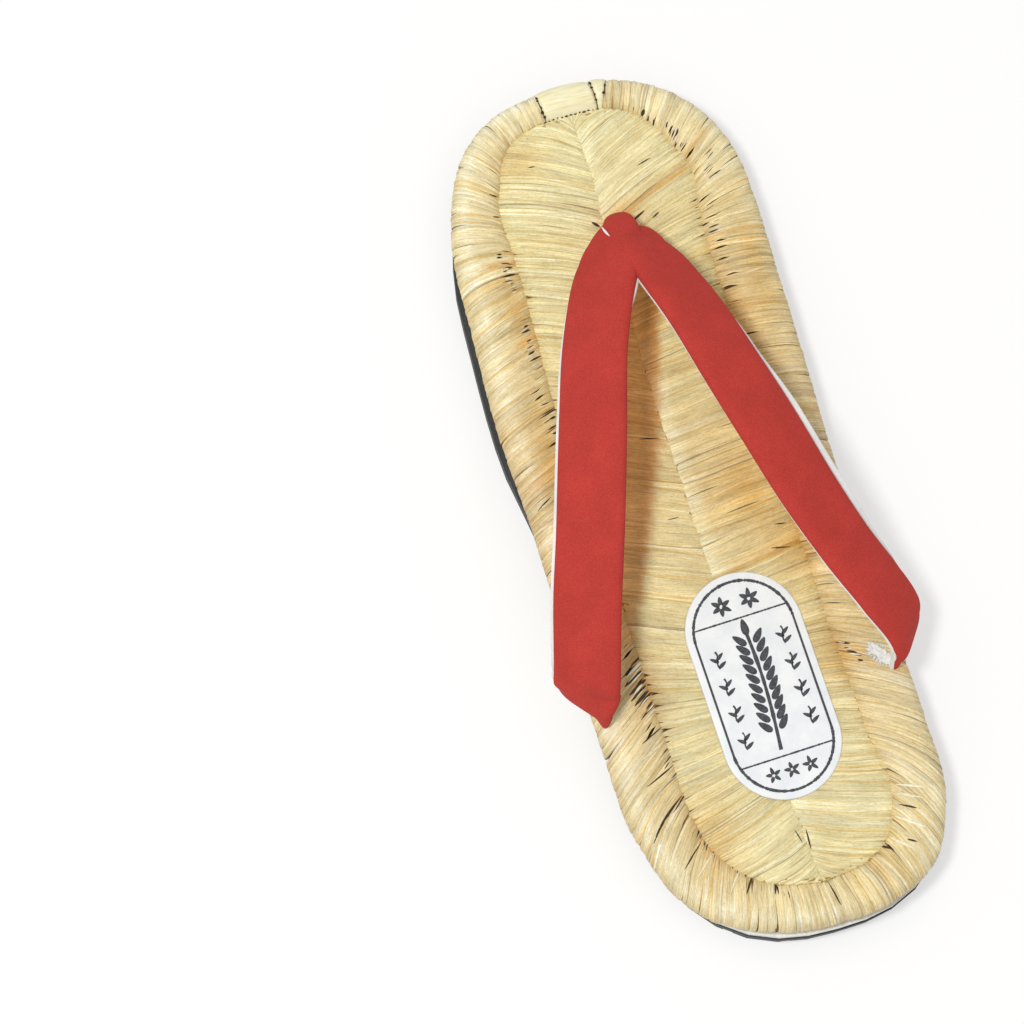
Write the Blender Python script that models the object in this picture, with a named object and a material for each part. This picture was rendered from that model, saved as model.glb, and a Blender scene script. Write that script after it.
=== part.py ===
"""Straw zori sandal with a tyre-rubber sole and red cloth straps.

Metres, +Z up, toe towards +Y, +X to the right of the wearer. The sandal stands on z = 0.
"""

import math

import bmesh
import bpy

# Overall form
LENGTH = 0.270
WIDTH = 0.096
TOE_ROUND = 0.058
HEEL_ROUND = 0.056
ROUND_POWER = 2.5
GAP = 0.0003

# Layers
SOLE_THICK = 0.006
MIDSOLE_TOE = 0.0012
MIDSOLE_HEEL = 0.0040
STRAW_THICK = 0.0115
TOE_SPRING = 0.0035
HEEL_SPRING = 0.0012
ARCH_RISE = 0.0010
EDGE_STEP = 0.0015
SLAB_THIN = 3
SLAB_SHARES = (0.0, 0.35, 0.68, 1.0)

# Straw footbed
RIM_WIDTH = 0.0185
RIM_TUCK = 0.0030
BUNDLE_PITCH = 0.0125
BUNDLE_POINTS = 4
BUNDLE_DEPTH = 0.0006
BUNDLE_SHARPNESS = 3

# Tyre tread
GROOVE_WIDTH = 0.0026
GROOVE_DEPTH = 0.0014
GROOVE_SHARES = (-0.50, -0.17, 0.17, 0.50)
GROOVE_STATIONS = 16
GROOVE_OVERRUN = 1.05

# Straps
CREST_HEIGHT = 0.0510
STRAP_WIDTH = 0.0225
STRAP_THICK = 0.0034
LINING_THICK = 0.0014
LINING_EDGE = 0.0006
LINING_START = 11
STRAP_STATIONS = 39
POCKET_STATIONS = 8
POCKET_CLEAR = 0.0004

# Front thong
THONG_WIDTH = 0.0086
THONG_THICK = 0.0062
THONG_STATIONS = 12
THONG_SIDES = 12
THONG_FULLNESS = 0.8

# Label and binding
LABEL_LENGTH = 0.0705
LABEL_WIDTH = 0.0358
LABEL_THICK = 0.0005
LABEL_TURN = math.radians(2.2)
LABEL_SIDES = 40
LABEL_RINGS = (0.0, 0.5, 1.0)
WRAP_THICK = 0.0008
WRAP_LEFT = -0.0120
WRAP_RIGHT = 0.0100

# Finishes: colour, roughness
RED_CLOTH = ((0.55, 0.055, 0.045), 0.85)
WHITE_CLOTH = ((0.80, 0.80, 0.78), 0.85)
RUBBER = ((0.030, 0.036, 0.038), 0.75)
SPONGE = ((0.85, 0.86, 0.84), 0.80)
STRAW = ((0.62, 0.46, 0.22), 0.65)
BINDING = ((0.80, 0.72, 0.50), 0.50)
PAPER = ((0.88, 0.88, 0.90), 0.40)
HELPER = ((1, 1, 1), 0.50)

# Mesh work
ARC_STEPS = 720
WELD = 1e-7

HALF_LENGTH = LENGTH / 2
HALF_WIDTH = WIDTH / 2

# The label's centre, in shares of the half length and the half width
LABEL_ALONG = -0.444
LABEL_ACROSS = 0.104

# along: share of the half length; lean and half: shares of the half width
OUTLINE_COLUMNS = ("along", "lean", "half")
OUTLINE = (
    (-1.00, 0.150, 0.985),
    (-0.80, 0.085, 0.990),
    (-0.60, 0.037, 0.990),
    (-0.30, 0.010, 0.985),
    (0.00, -0.017, 0.977),
    (0.30, -0.030, 1.000),
    (0.60, -0.018, 0.990),
    (0.80, -0.005, 1.000),
    (1.00, -0.045, 1.010),
)

# along: share of the half length; rim: share of the rim width
RIM_COLUMNS = ("along", "rim")
RIM = ((-1.00, 0.84), (-0.85, 0.93), (-0.60, 1.00), (0.70, 1.00), (0.88, 0.80), (1.00, 0.50))

# Section of the edge roll. Columns: inward, a share of the rim width; height, one of the straw thickness
ROLL = (
    (0.030, 0.20),
    (0.000, 0.42),
    (0.055, 0.72),
    (0.230, 0.94),
    (0.500, 1.00),
    (0.770, 0.93),
    (1.000, 0.735),
)

# Where the binding starts under the roll, in the roll's columns
WRAP_START = (0.08, 0.10)

# Section of a lane. Columns: inward, a share of the way from groove to centre line; height as above
LANE = ((0.00, 0.735), (0.10, 0.81), (0.40, 0.86), (0.78, 0.83), (1.00, 0.77))

# How far the sole's edge lies inside the straw's edge, in shares of the edge step
SOLE_EDGE_COLUMNS = ("along", "left", "right")
SOLE_EDGE = (
    (-1.00, 0.0, 0.0),
    (-0.75, 1.8, 0.4),
    (-0.30, 1.5, 0.6),
    (0.00, 0.8, 0.6),
    (0.22, -0.9, 0.6),
    (0.55, -1.0, 0.6),
    (0.78, 0.3, 0.6),
    (1.00, 0.7, 0.7),
)
MIDSOLE_EDGE_COLUMNS = ("along", "left", "right")
MIDSOLE_EDGE = ((-1.00, 0.3, 0.3), (-0.70, 2.1, 0.8), (0.00, 1.6, 1.2), (1.00, 1.5, 1.5))

# Where the underside leaves the floor, in shares of the half length
HEEL_FLAT = (-0.86, -0.30)
FOREFOOT_FLAT = (0.14, 0.64)

# along: share of the half length; out: share of the half width; up: share of the crest height;
# wide: share of the strap width; face: how far the band's face turns outwards, in right angles
LEG_COLUMNS = ("along", "out", "up", "wide", "face")
LEFT_LEG = (
    (0.625, -0.020, 0.525, 0.44, 0.10),
    (0.598, -0.030, 0.615, 0.66, 0.25),
    (0.538, -0.106, 0.725, 0.93, 0.34),
    (0.450, -0.236, 0.825, 0.96, 0.34),
    (0.330, -0.378, 0.925, 0.95, 0.32),
    (0.200, -0.497, 0.985, 0.95, 0.28),
    (0.070, -0.612, 1.000, 0.95, 0.26),
    (-0.060, -0.727, 0.975, 0.94, 0.26),
    (-0.190, -0.850, 0.885, 0.94, 0.30),
    (-0.305, -0.942, 0.735, 0.92, 0.36),
    (-0.385, -0.965, 0.580, 0.82, 0.50),
    (-0.430, -0.905, 0.450, 0.66, 0.70),
    (-0.450, -0.845, 0.335, 0.52, 0.85),
    (-0.455, -0.815, 0.250, 0.46, 0.90),
)
RIGHT_LEG = (
    (0.602, 0.118, 0.545, 0.42, 0.10),
    (0.578, 0.134, 0.635, 0.62, 0.25),
    (0.535, 0.154, 0.715, 0.88, 0.34),
    (0.465, 0.212, 0.800, 0.93, 0.34),
    (0.360, 0.300, 0.900, 0.94, 0.32),
    (0.210, 0.403, 0.980, 0.94, 0.28),
    (0.070, 0.508, 1.000, 0.93, 0.26),
    (-0.080, 0.626, 0.965, 0.90, 0.26),
    (-0.215, 0.768, 0.865, 0.88, 0.30),
    (-0.320, 0.906, 0.725, 0.88, 0.36),
    (-0.410, 0.984, 0.560, 0.78, 0.50),
    (-0.462, 0.920, 0.450, 0.62, 0.70),
    (-0.483, 0.860, 0.335, 0.52, 0.85),
    (-0.488, 0.830, 0.250, 0.46, 0.90),
)

# Half of a band's top. Columns: across, a share of the half width; rise, one of the thickness
PADDED_TOP = ((1.0, 0.30), (0.90, 0.72), (0.55, 0.95), (0.0, 1.0))
FLAT_TOP = ((1.0, 1.0), (0.0, 1.0))

# along, out and up as above; wide: share of the thong width
THONG_COLUMNS = ("along", "out", "up", "wide")
THONG = (
    (0.672, 0.062, 0.180, 0.90),
    (0.673, 0.062, 0.330, 0.95),
    (0.662, 0.060, 0.440, 1.00),
    (0.640, 0.058, 0.530, 1.02),
    (0.612, 0.056, 0.590, 0.96),
)


def smooth(table, column, at, columns):
    """Value of one column at a place along the table, eased from each row to the next."""
    index = columns.index(column)
    rows = [(row[0], row[index]) for row in table]
    if at <= rows[0][0]:
        return rows[0][1]
    for (start, low), (end, high) in zip(rows, rows[1:]):
        if at <= end:
            share = (at - start) / (end - start)
            return low + (high - low) * share * share * (3 - 2 * share)
    return rows[-1][1]


def lean(along):
    return HALF_WIDTH * smooth(OUTLINE, "lean", along / HALF_LENGTH, OUTLINE_COLUMNS)


def full_half_width(along):
    return HALF_WIDTH * smooth(OUTLINE, "half", along / HALF_LENGTH, OUTLINE_COLUMNS)


def rim_width(along):
    return RIM_WIDTH * smooth(RIM, "rim", along / HALF_LENGTH, RIM_COLUMNS)


def lift(along):
    """Height of the underside above the floor."""
    share = along / HALF_LENGTH
    if share < HEEL_FLAT[0]:
        return HEEL_SPRING * ((HEEL_FLAT[0] - share) / (1 + HEEL_FLAT[0])) ** 2
    if share > FOREFOOT_FLAT[1]:
        return TOE_SPRING * ((share - FOREFOOT_FLAT[1]) / (1 - FOREFOOT_FLAT[1])) ** 2
    if HEEL_FLAT[1] < share < FOREFOOT_FLAT[0]:
        phase = (share - HEEL_FLAT[1]) / (FOREFOOT_FLAT[0] - HEEL_FLAT[1])
        return ARCH_RISE * math.sin(math.pi * phase) ** 2
    return 0.0


def midsole_thick(along):
    share = (HALF_LENGTH - along) / LENGTH
    return MIDSOLE_TOE + (MIDSOLE_HEEL - MIDSOLE_TOE) * share


def straw_floor(along):
    """Height of the straw's underside."""
    return lift(along) + SOLE_THICK + midsole_thick(along) + 2 * GAP


def edge_stations():
    """One side of the outline from heel tip to toe tip: (along, share of the half width)."""
    step = BUNDLE_PITCH / BUNDLE_POINTS
    stations = []
    for end, round_length in ((-1, HEEL_ROUND), (1, TOE_ROUND)):
        fine = []
        for index in range(ARC_STEPS + 1):
            angle = math.pi / 2 * index / ARC_STEPS
            along = end * (HALF_LENGTH - round_length + round_length * math.sin(angle) ** (2 / ROUND_POWER))
            fine.append((along, math.cos(angle) ** (2 / ROUND_POWER) if index < ARC_STEPS else 0.0))
        lengths = [0.0]
        for before, after in zip(fine, fine[1:]):
            across = (after[1] - before[1]) * HALF_WIDTH
            lengths.append(lengths[-1] + math.hypot(after[0] - before[0], across))
        count = BUNDLE_POINTS * round(lengths[-1] / step / BUNDLE_POINTS)
        picked = []
        for index in range(1, count + 1):
            target = lengths[-1] * index / count
            place = min(range(len(fine)), key=lambda spot: abs(lengths[spot] - target))
            picked.append(fine[place])
        if end < 0:
            stations = picked[::-1]
            straight_start = -(HALF_LENGTH - round_length)
        else:
            straight_end = HALF_LENGTH - round_length
            count = BUNDLE_POINTS * round((straight_end - straight_start) / step / BUNDLE_POINTS)
            for index in range(count + 1):
                stations.append((straight_start + (straight_end - straight_start) * index / count, 1.0))
            stations += picked
    return stations


def edge_loop(thin=1):
    """The whole outline, anticlockwise from the heel tip: (along, share, side), every so many stations."""
    stations = edge_stations()[::thin]
    right = [(along, share, 1) for along, share in stations]
    left = [(along, share, -1) for along, share in stations[-2:0:-1]]
    return right + left


def spine_point(along):
    """The point of the centre line that an edge point looks to."""
    near = -(HALF_LENGTH - HEEL_ROUND)
    far = HALF_LENGTH - TOE_ROUND
    held = min(max(along, near), far)
    return lean(held), held


def edge_point(along, share, side):
    return lean(along) + side * share * full_half_width(along), along


def inward(edge, distance):
    """An edge point moved towards the centre line, and never past it."""
    x, y = edge_point(*edge)
    to_x, to_y = spine_point(edge[0])
    reach = math.hypot(to_x - x, to_y - y)
    share = min(distance / reach, 1.0)
    return x + (to_x - x) * share, y + (to_y - y) * share


def to_spine(edge, distance, share):
    """A share of the way from a distance inside the edge to the centre line."""
    x, y = inward(edge, distance)
    to_x, to_y = spine_point(edge[0])
    return x + (to_x - x) * share, y + (to_y - y) * share


def mesh_object(name, vertices, faces, finish):
    bm = bmesh.new()
    points = [bm.verts.new(vertex) for vertex in vertices]
    for face in faces:
        corners = [points[index] for index in face]
        bm.faces.new(corners)
    bmesh.ops.remove_doubles(bm, verts=bm.verts, dist=WELD)
    bmesh.ops.dissolve_degenerate(bm, edges=bm.edges, dist=WELD)
    bmesh.ops.triangulate(bm, faces=bm.faces)
    bmesh.ops.recalc_face_normals(bm, faces=bm.faces)
    mesh = bpy.data.meshes.new(name)
    bm.to_mesh(mesh)
    bm.free()
    obj = bpy.data.objects.new(name, mesh)
    bpy.context.scene.collection.objects.link(obj)
    mesh.materials.append(material(name, finish))
    return obj


def material(name, finish):
    colour, roughness = finish
    mat = bpy.data.materials.new(name)
    mat.use_nodes = True
    shader = mat.node_tree.nodes["Principled BSDF"]
    shader.inputs["Base Color"].default_value = (*colour, 1)
    shader.inputs["Roughness"].default_value = roughness
    shader.inputs["Metallic"].default_value = 0
    return mat


def bridge(rings):
    """Faces between closed rings of equal length, numbered one after another."""
    count = len(rings[0])
    faces = []
    for row in range(len(rings) - 1):
        for index in range(count):
            after = (index + 1) % count
            low, high = row * count, (row + 1) * count
            faces.append((low + index, low + after, high + after, high + index))
    return faces


def slab(name, inset, bottom, top, finish):
    """A flat layer with the outline's form: inset(edge) inside it, between two heights given along it."""
    edges = edge_loop(SLAB_THIN)
    rings = []
    for height, shares in ((bottom, SLAB_SHARES[::-1]), (top, SLAB_SHARES)):
        for share in shares:
            ring = []
            for edge in edges:
                x, y = to_spine(edge, inset(edge), share)
                ring.append((x, y, height(y)))
            rings.append(ring)
    vertices = [point for ring in rings for point in ring]
    return mesh_object(name, vertices, bridge(rings), finish)


def edge_inset(table, columns):
    def inset(edge):
        along, _, side = edge
        column = "right" if side > 0 else "left"
        return EDGE_STEP * smooth(table, column, along / HALF_LENGTH, columns)

    return inset


def cut(target, cutter):
    cutter.hide_render = True
    cutter.display_type = "WIRE"
    modifier = target.modifiers.new(cutter.name, "BOOLEAN")
    modifier.operation = "DIFFERENCE"
    modifier.solver = "EXACT"
    modifier.object = cutter


def join(target, other):
    other.hide_render = True
    other.display_type = "WIRE"
    modifier = target.modifiers.new(other.name, "BOOLEAN")
    modifier.operation = "UNION"
    modifier.solver = "EXACT"
    modifier.object = other


def outsole():
    sole = slab(
        "outsole",
        edge_inset(SOLE_EDGE, SOLE_EDGE_COLUMNS),
        lift,
        lambda along: lift(along) + SOLE_THICK,
        RUBBER,
    )
    for number, share in enumerate(GROOVE_SHARES):
        rings = []
        for station in range(GROOVE_STATIONS + 1):
            along = HALF_LENGTH * GROOVE_OVERRUN * (2 * station / GROOVE_STATIONS - 1)
            middle = share * HALF_WIDTH
            left = middle - GROOVE_WIDTH / 2
            right = middle + GROOVE_WIDTH / 2
            roof = lift(min(max(along, -HALF_LENGTH), HALF_LENGTH)) + GROOVE_DEPTH
            floor = -SOLE_THICK
            corners = ((left, floor), (right, floor), (right, roof), (left, roof))
            rings.append([(x, along, z) for x, z in corners])
        vertices = [point for ring in rings for point in ring]
        last = 4 * GROOVE_STATIONS
        faces = bridge(rings) + [(0, 1, 2, 3), (last, last + 1, last + 2, last + 3)]
        cut(sole, mesh_object(f"groove_cutter_{number}", vertices, faces, HELPER))
    return sole


def midsole():
    return slab(
        "midsole",
        edge_inset(MIDSOLE_EDGE, MIDSOLE_EDGE_COLUMNS),
        lambda along: lift(along) + SOLE_THICK + GAP,
        lambda along: straw_floor(along) - GAP,
        SPONGE,
    )


def bundle_dip(index):
    """How deep the crease between two straw bundles is at this edge point."""
    phase = (index % BUNDLE_POINTS) / BUNDLE_POINTS
    return BUNDLE_DEPTH * abs(math.cos(math.pi * phase)) ** BUNDLE_SHARPNESS


def straw_rings(edges):
    rings = []
    for share in (1.0, 0.5, 0.0):
        ring = []
        for edge in edges:
            x, y = to_spine(edge, RIM_TUCK, share)
            ring.append((x, y, straw_floor(y)))
        rings.append(ring)
    for step, height in ROLL:
        ring = []
        crown = 1 - abs(2 * step - 1) ** 2
        for index, edge in enumerate(edges):
            dip = bundle_dip(index)
            x, y = inward(edge, step * rim_width(edge[0]) + dip * (1 - step))
            ring.append((x, y, straw_floor(y) + height * STRAW_THICK - dip * crown))
        rings.append(ring)
    for share, height in LANE[1:]:
        ring = []
        for edge in edges:
            x, y = to_spine(edge, rim_width(edge[0]), share)
            ring.append((x, y, straw_floor(y) + height * STRAW_THICK))
        rings.append(ring)
    return rings


def straw_body():
    rings = straw_rings(edge_loop())
    vertices = [point for ring in rings for point in ring]
    return mesh_object("straw_body", vertices, bridge(rings), STRAW)


def toe_wrap():
    """Smooth binding over the roll, from its groove round to its underside."""
    picked = []
    for edge in edge_loop():
        x, y = edge_point(*edge)
        if y > HALF_LENGTH - TOE_ROUND / 2 and WRAP_LEFT <= x <= WRAP_RIGHT:
            picked.append(edge)
    picked.sort(key=lambda edge: edge_point(*edge)[0])
    section = (WRAP_START,) + ROLL
    sheets = []
    for raised in (GAP, GAP + WRAP_THICK):
        for edge in picked:
            row = []
            for step, height in section:
                along = edge[0]
                tilt = 1 - 2 * step
                out = raised * tilt
                up = raised * max(1 - tilt * tilt, 0.5)
                x, y = inward(edge, step * rim_width(along))
                spine_x, spine_y = spine_point(along)
                reach = math.hypot(x - spine_x, y - spine_y)
                x += (x - spine_x) / reach * out
                y += (y - spine_y) / reach * out
                row.append((x, y, straw_floor(y) + height * STRAW_THICK + up))
            sheets.append(row)
    count = len(picked)
    width = len(section)
    vertices = [point for row in sheets for point in row]
    faces = []
    for base in (0, count * width):
        for row in range(count - 1):
            for column in range(width - 1):
                corner = base + row * width + column
                faces.append((corner, corner + 1, corner + width + 1, corner + width))
    border = list(range(width))
    border += [row * width + width - 1 for row in range(1, count)]
    border += [(count - 1) * width + column for column in range(width - 2, -1, -1)]
    border += [row * width for row in range(count - 2, 0, -1)]
    upper = count * width
    for here, after in zip(border, border[1:] + border[:1]):
        faces.append((here, after, upper + after, upper + here))
    return mesh_object("toe_wrap", vertices, faces, BINDING)


def cross(a, b):
    return (a[1] * b[2] - a[2] * b[1], a[2] * b[0] - a[0] * b[2], a[0] * b[1] - a[1] * b[0])


def unit(a):
    length = math.sqrt(sum(part * part for part in a))
    return tuple(part / length for part in a)


def curve_rows(table, count):
    """Rows read from a smooth curve through the table's rows."""
    rows = []
    last = len(table) - 1
    for station in range(count + 1):
        place = last * station / count
        index = min(int(place), last - 1)
        share = place - index
        before = table[max(index - 1, 0)]
        start = table[index]
        end = table[index + 1]
        after = table[min(index + 2, last)]
        row = []
        for p, a, b, n in zip(before, start, end, after):
            bend = (2 * p - 5 * a + 4 * b - n) * share * share
            twist = (3 * a - p - 3 * b + n) * share ** 3
            row.append(0.5 * (2 * a + (b - p) * share + bend + twist))
        rows.append(row)
    return rows


def frames(table, columns, count, facing):
    """Centre, side, normal and width share of each section; facing(row) is where the band's face looks."""
    rows = [dict(zip(columns, row)) for row in curve_rows(table, count)]
    centres = []
    for row in rows:
        centres.append((row["out"] * HALF_WIDTH, row["along"] * HALF_LENGTH, row["up"] * CREST_HEIGHT))
    found = []
    for index, (row, centre) in enumerate(zip(rows, centres)):
        before = centres[max(index - 1, 0)]
        after = centres[min(index + 1, len(centres) - 1)]
        tangent = unit([b - a for a, b in zip(before, after)])
        side = unit(cross(tangent, facing(row)))
        found.append((centre, side, cross(side, tangent), row["wide"]))
    return found


def leg_frames(table, outward):
    def facing(row):
        turn = row["face"] * math.pi / 2
        return outward * math.sin(turn), 0, math.cos(turn)

    return frames(table, LEG_COLUMNS, STRAP_STATIONS, facing)


def sweep(name, sections, finish):
    vertices = [point for ring in sections for point in ring]
    count = len(sections[0])
    last = count * (len(sections) - 1)
    faces = bridge(sections)
    faces.append(tuple(range(count)))
    faces.append(tuple(range(last, last + count)))
    return mesh_object(name, vertices, faces, finish)


def lengthened(sections, distance):
    """The same sections with the last one carried on, so that a cutter runs past what it makes room for."""
    centres = []
    for ring in sections[-2:]:
        centres.append([sum(point[axis] for point in ring) / len(ring) for axis in range(3)])
    onward = unit([b - a for a, b in zip(*centres)])
    ring = [tuple(c + distance * o for c, o in zip(point, onward)) for point in sections[-1]]
    return sections + [ring]


def band_sections(leg, low, high, widen, top):
    """Closed sections of a band between two heights over its middle surface; top is half its upper line."""
    right = [(across, low + rise * (high - low)) for across, rise in top]
    left = [(-across, up) for across, up in right[::-1] if across > 0]
    outline = [(-1, low), (0, low), (1, low)] + right + left
    sections = []
    for centre, side, normal, wide in leg:
        half = wide * STRAP_WIDTH / 2 + widen
        ring = []
        for across, up in outline:
            ring.append(tuple(c + across * half * s + up * n for c, s, n in zip(centre, side, normal)))
        sections.append(ring)
    return sections


def straps(thong_room):
    """Both bands as one solid, joined at the front and cut clear of the thong."""
    halves = []
    for name, table, outward in (("straps", LEFT_LEG, -1), ("straps_right_half", RIGHT_LEG, 1)):
        sections = band_sections(leg_frames(table, outward), 0.0, STRAP_THICK, 0.0, PADDED_TOP)
        halves.append(sweep(name, sections, RED_CLOTH))
    join(*halves)
    cut(halves[0], thong_room)
    return halves[0]


def lining():
    """The underside of each band, from where the bands part."""
    for name, table, outward in (("strap_lining_left", LEFT_LEG, -1), ("strap_lining_right", RIGHT_LEG, 1)):
        spots = leg_frames(table, outward)[LINING_START:]
        sections = band_sections(spots, -LINING_THICK - GAP, -GAP, LINING_EDGE, FLAT_TOP)
        sweep(name, sections, WHITE_CLOTH)


def pocket_cutters():
    cutters = []
    for leg, table, outward in (("left", LEFT_LEG, -1), ("right", RIGHT_LEG, 1)):
        spots = leg_frames(table, outward)[-POCKET_STATIONS:]
        low = -LINING_THICK - GAP - POCKET_CLEAR
        high = STRAP_THICK + POCKET_CLEAR
        widen = LINING_EDGE + POCKET_CLEAR
        sections = lengthened(band_sections(spots, low, high, widen, FLAT_TOP), POCKET_CLEAR)
        cutters.append(sweep(f"pocket_cutter_{leg}", sections, HELPER))
    return cutters


def fuller(share):
    """A circle's sine or cosine, changed so that its section is fuller at the corners."""
    return math.copysign(abs(share) ** THONG_FULLNESS, share)


def thong_sections(grow):
    sections = []
    for centre, side, normal, wide in frames(THONG, THONG_COLUMNS, THONG_STATIONS, lambda row: (0, 1, 0)):
        half = wide * THONG_WIDTH / 2 + grow
        thick = THONG_THICK / 2 + grow
        ring = []
        for step in range(THONG_SIDES):
            angle = 2 * math.pi * step / THONG_SIDES
            across = half * fuller(math.cos(angle))
            up = thick * fuller(math.sin(angle))
            ring.append(tuple(c + across * s + up * n for c, s, n in zip(centre, side, normal)))
        sections.append(ring)
    return sections


def label():
    """Thin oval that lies on the crowns of the two lanes."""
    crown = STRAW_THICK * max(height for _, height in LANE)
    straight = (LABEL_LENGTH - LABEL_WIDTH) / 2
    rings = []
    for raised, shares in ((GAP, LABEL_RINGS), (GAP + LABEL_THICK, LABEL_RINGS[::-1])):
        for share in shares:
            ring = []
            for index in range(LABEL_SIDES):
                angle = 2 * math.pi * index / LABEL_SIDES
                across = LABEL_WIDTH / 2 * math.cos(angle) * share
                along = LABEL_WIDTH / 2 * math.sin(angle) * share + math.copysign(straight, math.sin(angle))
                x = LABEL_ACROSS * HALF_WIDTH + across * math.cos(LABEL_TURN) - along * math.sin(LABEL_TURN)
                y = LABEL_ALONG * HALF_LENGTH + across * math.sin(LABEL_TURN) + along * math.cos(LABEL_TURN)
                ring.append((x, y, straw_floor(y) + crown + raised))
            rings.append(ring)
    vertices = [point for ring in rings for point in ring]
    return mesh_object("label", vertices, bridge(rings), PAPER)


def build():
    for obj in list(bpy.data.objects):
        bpy.data.objects.remove(obj)
    outsole()
    midsole()
    footbed = straw_body()
    toe_wrap()
    room = lengthened(lengthened(thong_sections(GAP)[::-1], STRAW_THICK)[::-1], GAP)
    thong_room = sweep("thong_room", room, HELPER)
    cut(footbed, thong_room)
    for cutter in pocket_cutters():
        cut(footbed, cutter)
    sweep("front_thong", thong_sections(0), RED_CLOTH)
    straps(thong_room)
    lining()
    label()


build()
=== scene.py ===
"""Looks of the straw zori sandal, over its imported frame. Metres, toe towards +Y, +X to the right, +Z up."""

import math

import bmesh
import bpy
import numpy as np
from mathutils import Matrix, Vector
from mathutils.noise import noise as noise_of

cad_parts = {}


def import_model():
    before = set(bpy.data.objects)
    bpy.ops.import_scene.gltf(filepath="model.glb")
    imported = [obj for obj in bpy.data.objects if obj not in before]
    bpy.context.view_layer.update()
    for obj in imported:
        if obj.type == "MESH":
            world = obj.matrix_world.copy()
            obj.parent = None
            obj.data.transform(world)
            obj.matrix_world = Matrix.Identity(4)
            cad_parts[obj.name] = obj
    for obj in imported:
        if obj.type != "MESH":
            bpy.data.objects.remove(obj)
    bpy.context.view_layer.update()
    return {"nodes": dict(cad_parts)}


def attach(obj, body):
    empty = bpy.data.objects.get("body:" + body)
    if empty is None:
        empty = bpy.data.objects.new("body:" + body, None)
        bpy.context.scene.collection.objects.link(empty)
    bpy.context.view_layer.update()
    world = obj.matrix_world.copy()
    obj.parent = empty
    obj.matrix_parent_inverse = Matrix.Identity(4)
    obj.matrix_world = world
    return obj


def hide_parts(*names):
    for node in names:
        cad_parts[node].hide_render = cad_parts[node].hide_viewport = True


# Form, as in the part's source
LENGTH = 0.270
WIDTH = 0.096
TOE_ROUND = 0.058
HEEL_ROUND = 0.056
ROUND_POWER = 2.5
GAP = 0.0003
SOLE_THICK = 0.006
MIDSOLE_TOE = 0.0012
MIDSOLE_HEEL = 0.0040
STRAW_THICK = 0.0115
TOE_SPRING = 0.0035
HEEL_SPRING = 0.0012
ARCH_RISE = 0.0010
RIM_WIDTH = 0.0185
CREST_HEIGHT = 0.0510
STRAP_WIDTH = 0.0225
STRAP_THICK = 0.0034
LINING_THICK = 0.0014
THONG_WIDTH = 0.0086
THONG_THICK = 0.0062
LABEL_LENGTH = 0.0705
LABEL_WIDTH = 0.0358
LABEL_THICK = 0.0005
LABEL_ALONG = -0.444
LABEL_ACROSS = 0.104
LABEL_TURN = math.radians(2.2)
WRAP_EDGES = (-0.0108, 0.0068, 0.0122)

HALF_LENGTH = LENGTH / 2
HALF_WIDTH = WIDTH / 2
MM = 0.001

# along the half length: lean, half width
LEAN = (
    (-1.00, 0.150), (-0.80, 0.085), (-0.60, 0.037), (-0.30, 0.010), (0.00, -0.017),
    (0.30, -0.030), (0.60, -0.018), (0.80, -0.005), (1.00, -0.045),
)
HALF = (
    (-1.00, 0.985), (-0.80, 0.990), (-0.60, 0.990), (-0.30, 0.985), (0.00, 0.977),
    (0.30, 1.000), (0.60, 0.990), (0.80, 1.000), (1.00, 1.010),
)
RIM = ((-1.00, 0.84), (-0.85, 0.93), (-0.60, 1.00), (0.70, 1.00), (0.88, 0.80), (1.00, 0.50))
# inward in shares of the rim width, height in shares of the straw's thickness
ROLL = (
    (0.200, 0.02), (0.090, 0.03), (0.030, 0.14), (0.000, 0.42), (0.055, 0.72), (0.230, 0.94),
    (0.500, 1.00), (0.770, 0.93), (0.960, 0.77), (1.060, 0.56),
)
LANE = ((-0.06, 0.58), (0.00, 0.72), (0.10, 0.81), (0.40, 0.86), (0.78, 0.83), (1.00, 0.77), (1.05, 0.70))
HEEL_FLAT = (-0.86, -0.30)
FOREFOOT_FLAT = (0.14, 0.64)

LEFT_LEG = (
    (0.632, 0.030, 0.520, 0.34, 0.10),
    (0.603, -0.006, 0.610, 0.60, 0.22),
    (0.538, -0.106, 0.725, 0.93, 0.34),
    (0.450, -0.236, 0.825, 0.96, 0.34),
    (0.330, -0.378, 0.925, 0.95, 0.32),
    (0.200, -0.497, 0.985, 0.95, 0.28),
    (0.070, -0.612, 1.000, 0.95, 0.26),
    (-0.060, -0.727, 0.975, 0.94, 0.26),
    (-0.190, -0.845, 0.885, 0.95, 0.26),
    (-0.315, -0.941, 0.740, 0.92, 0.26),
    (-0.355, -0.967, 0.610, 0.95, 0.15),
    (-0.381, -0.967, 0.470, 0.78, 0.40),
    (-0.386, -0.880, 0.340, 0.62, 0.59),
    (-0.381, -0.781, 0.190, 0.21, 0.50),
)
RIGHT_LEG = (
    (0.602, 0.118, 0.545, 0.42, 0.10),
    (0.578, 0.134, 0.635, 0.62, 0.25),
    (0.535, 0.154, 0.715, 0.88, 0.34),
    (0.465, 0.212, 0.800, 0.93, 0.34),
    (0.360, 0.300, 0.900, 0.94, 0.32),
    (0.210, 0.403, 0.980, 0.94, 0.28),
    (0.070, 0.508, 1.000, 0.93, 0.26),
    (-0.080, 0.626, 0.965, 0.90, 0.26),
    (-0.215, 0.768, 0.865, 0.88, 0.30),
    (-0.320, 0.916, 0.725, 0.91, 0.34),
    (-0.394, 1.018, 0.590, 0.90, 0.40),
    (-0.430, 1.010, 0.450, 0.82, 0.52),
    (-0.442, 0.905, 0.320, 0.54, 0.68),
    (-0.442, 0.800, 0.185, 0.34, 0.80),
)
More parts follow.
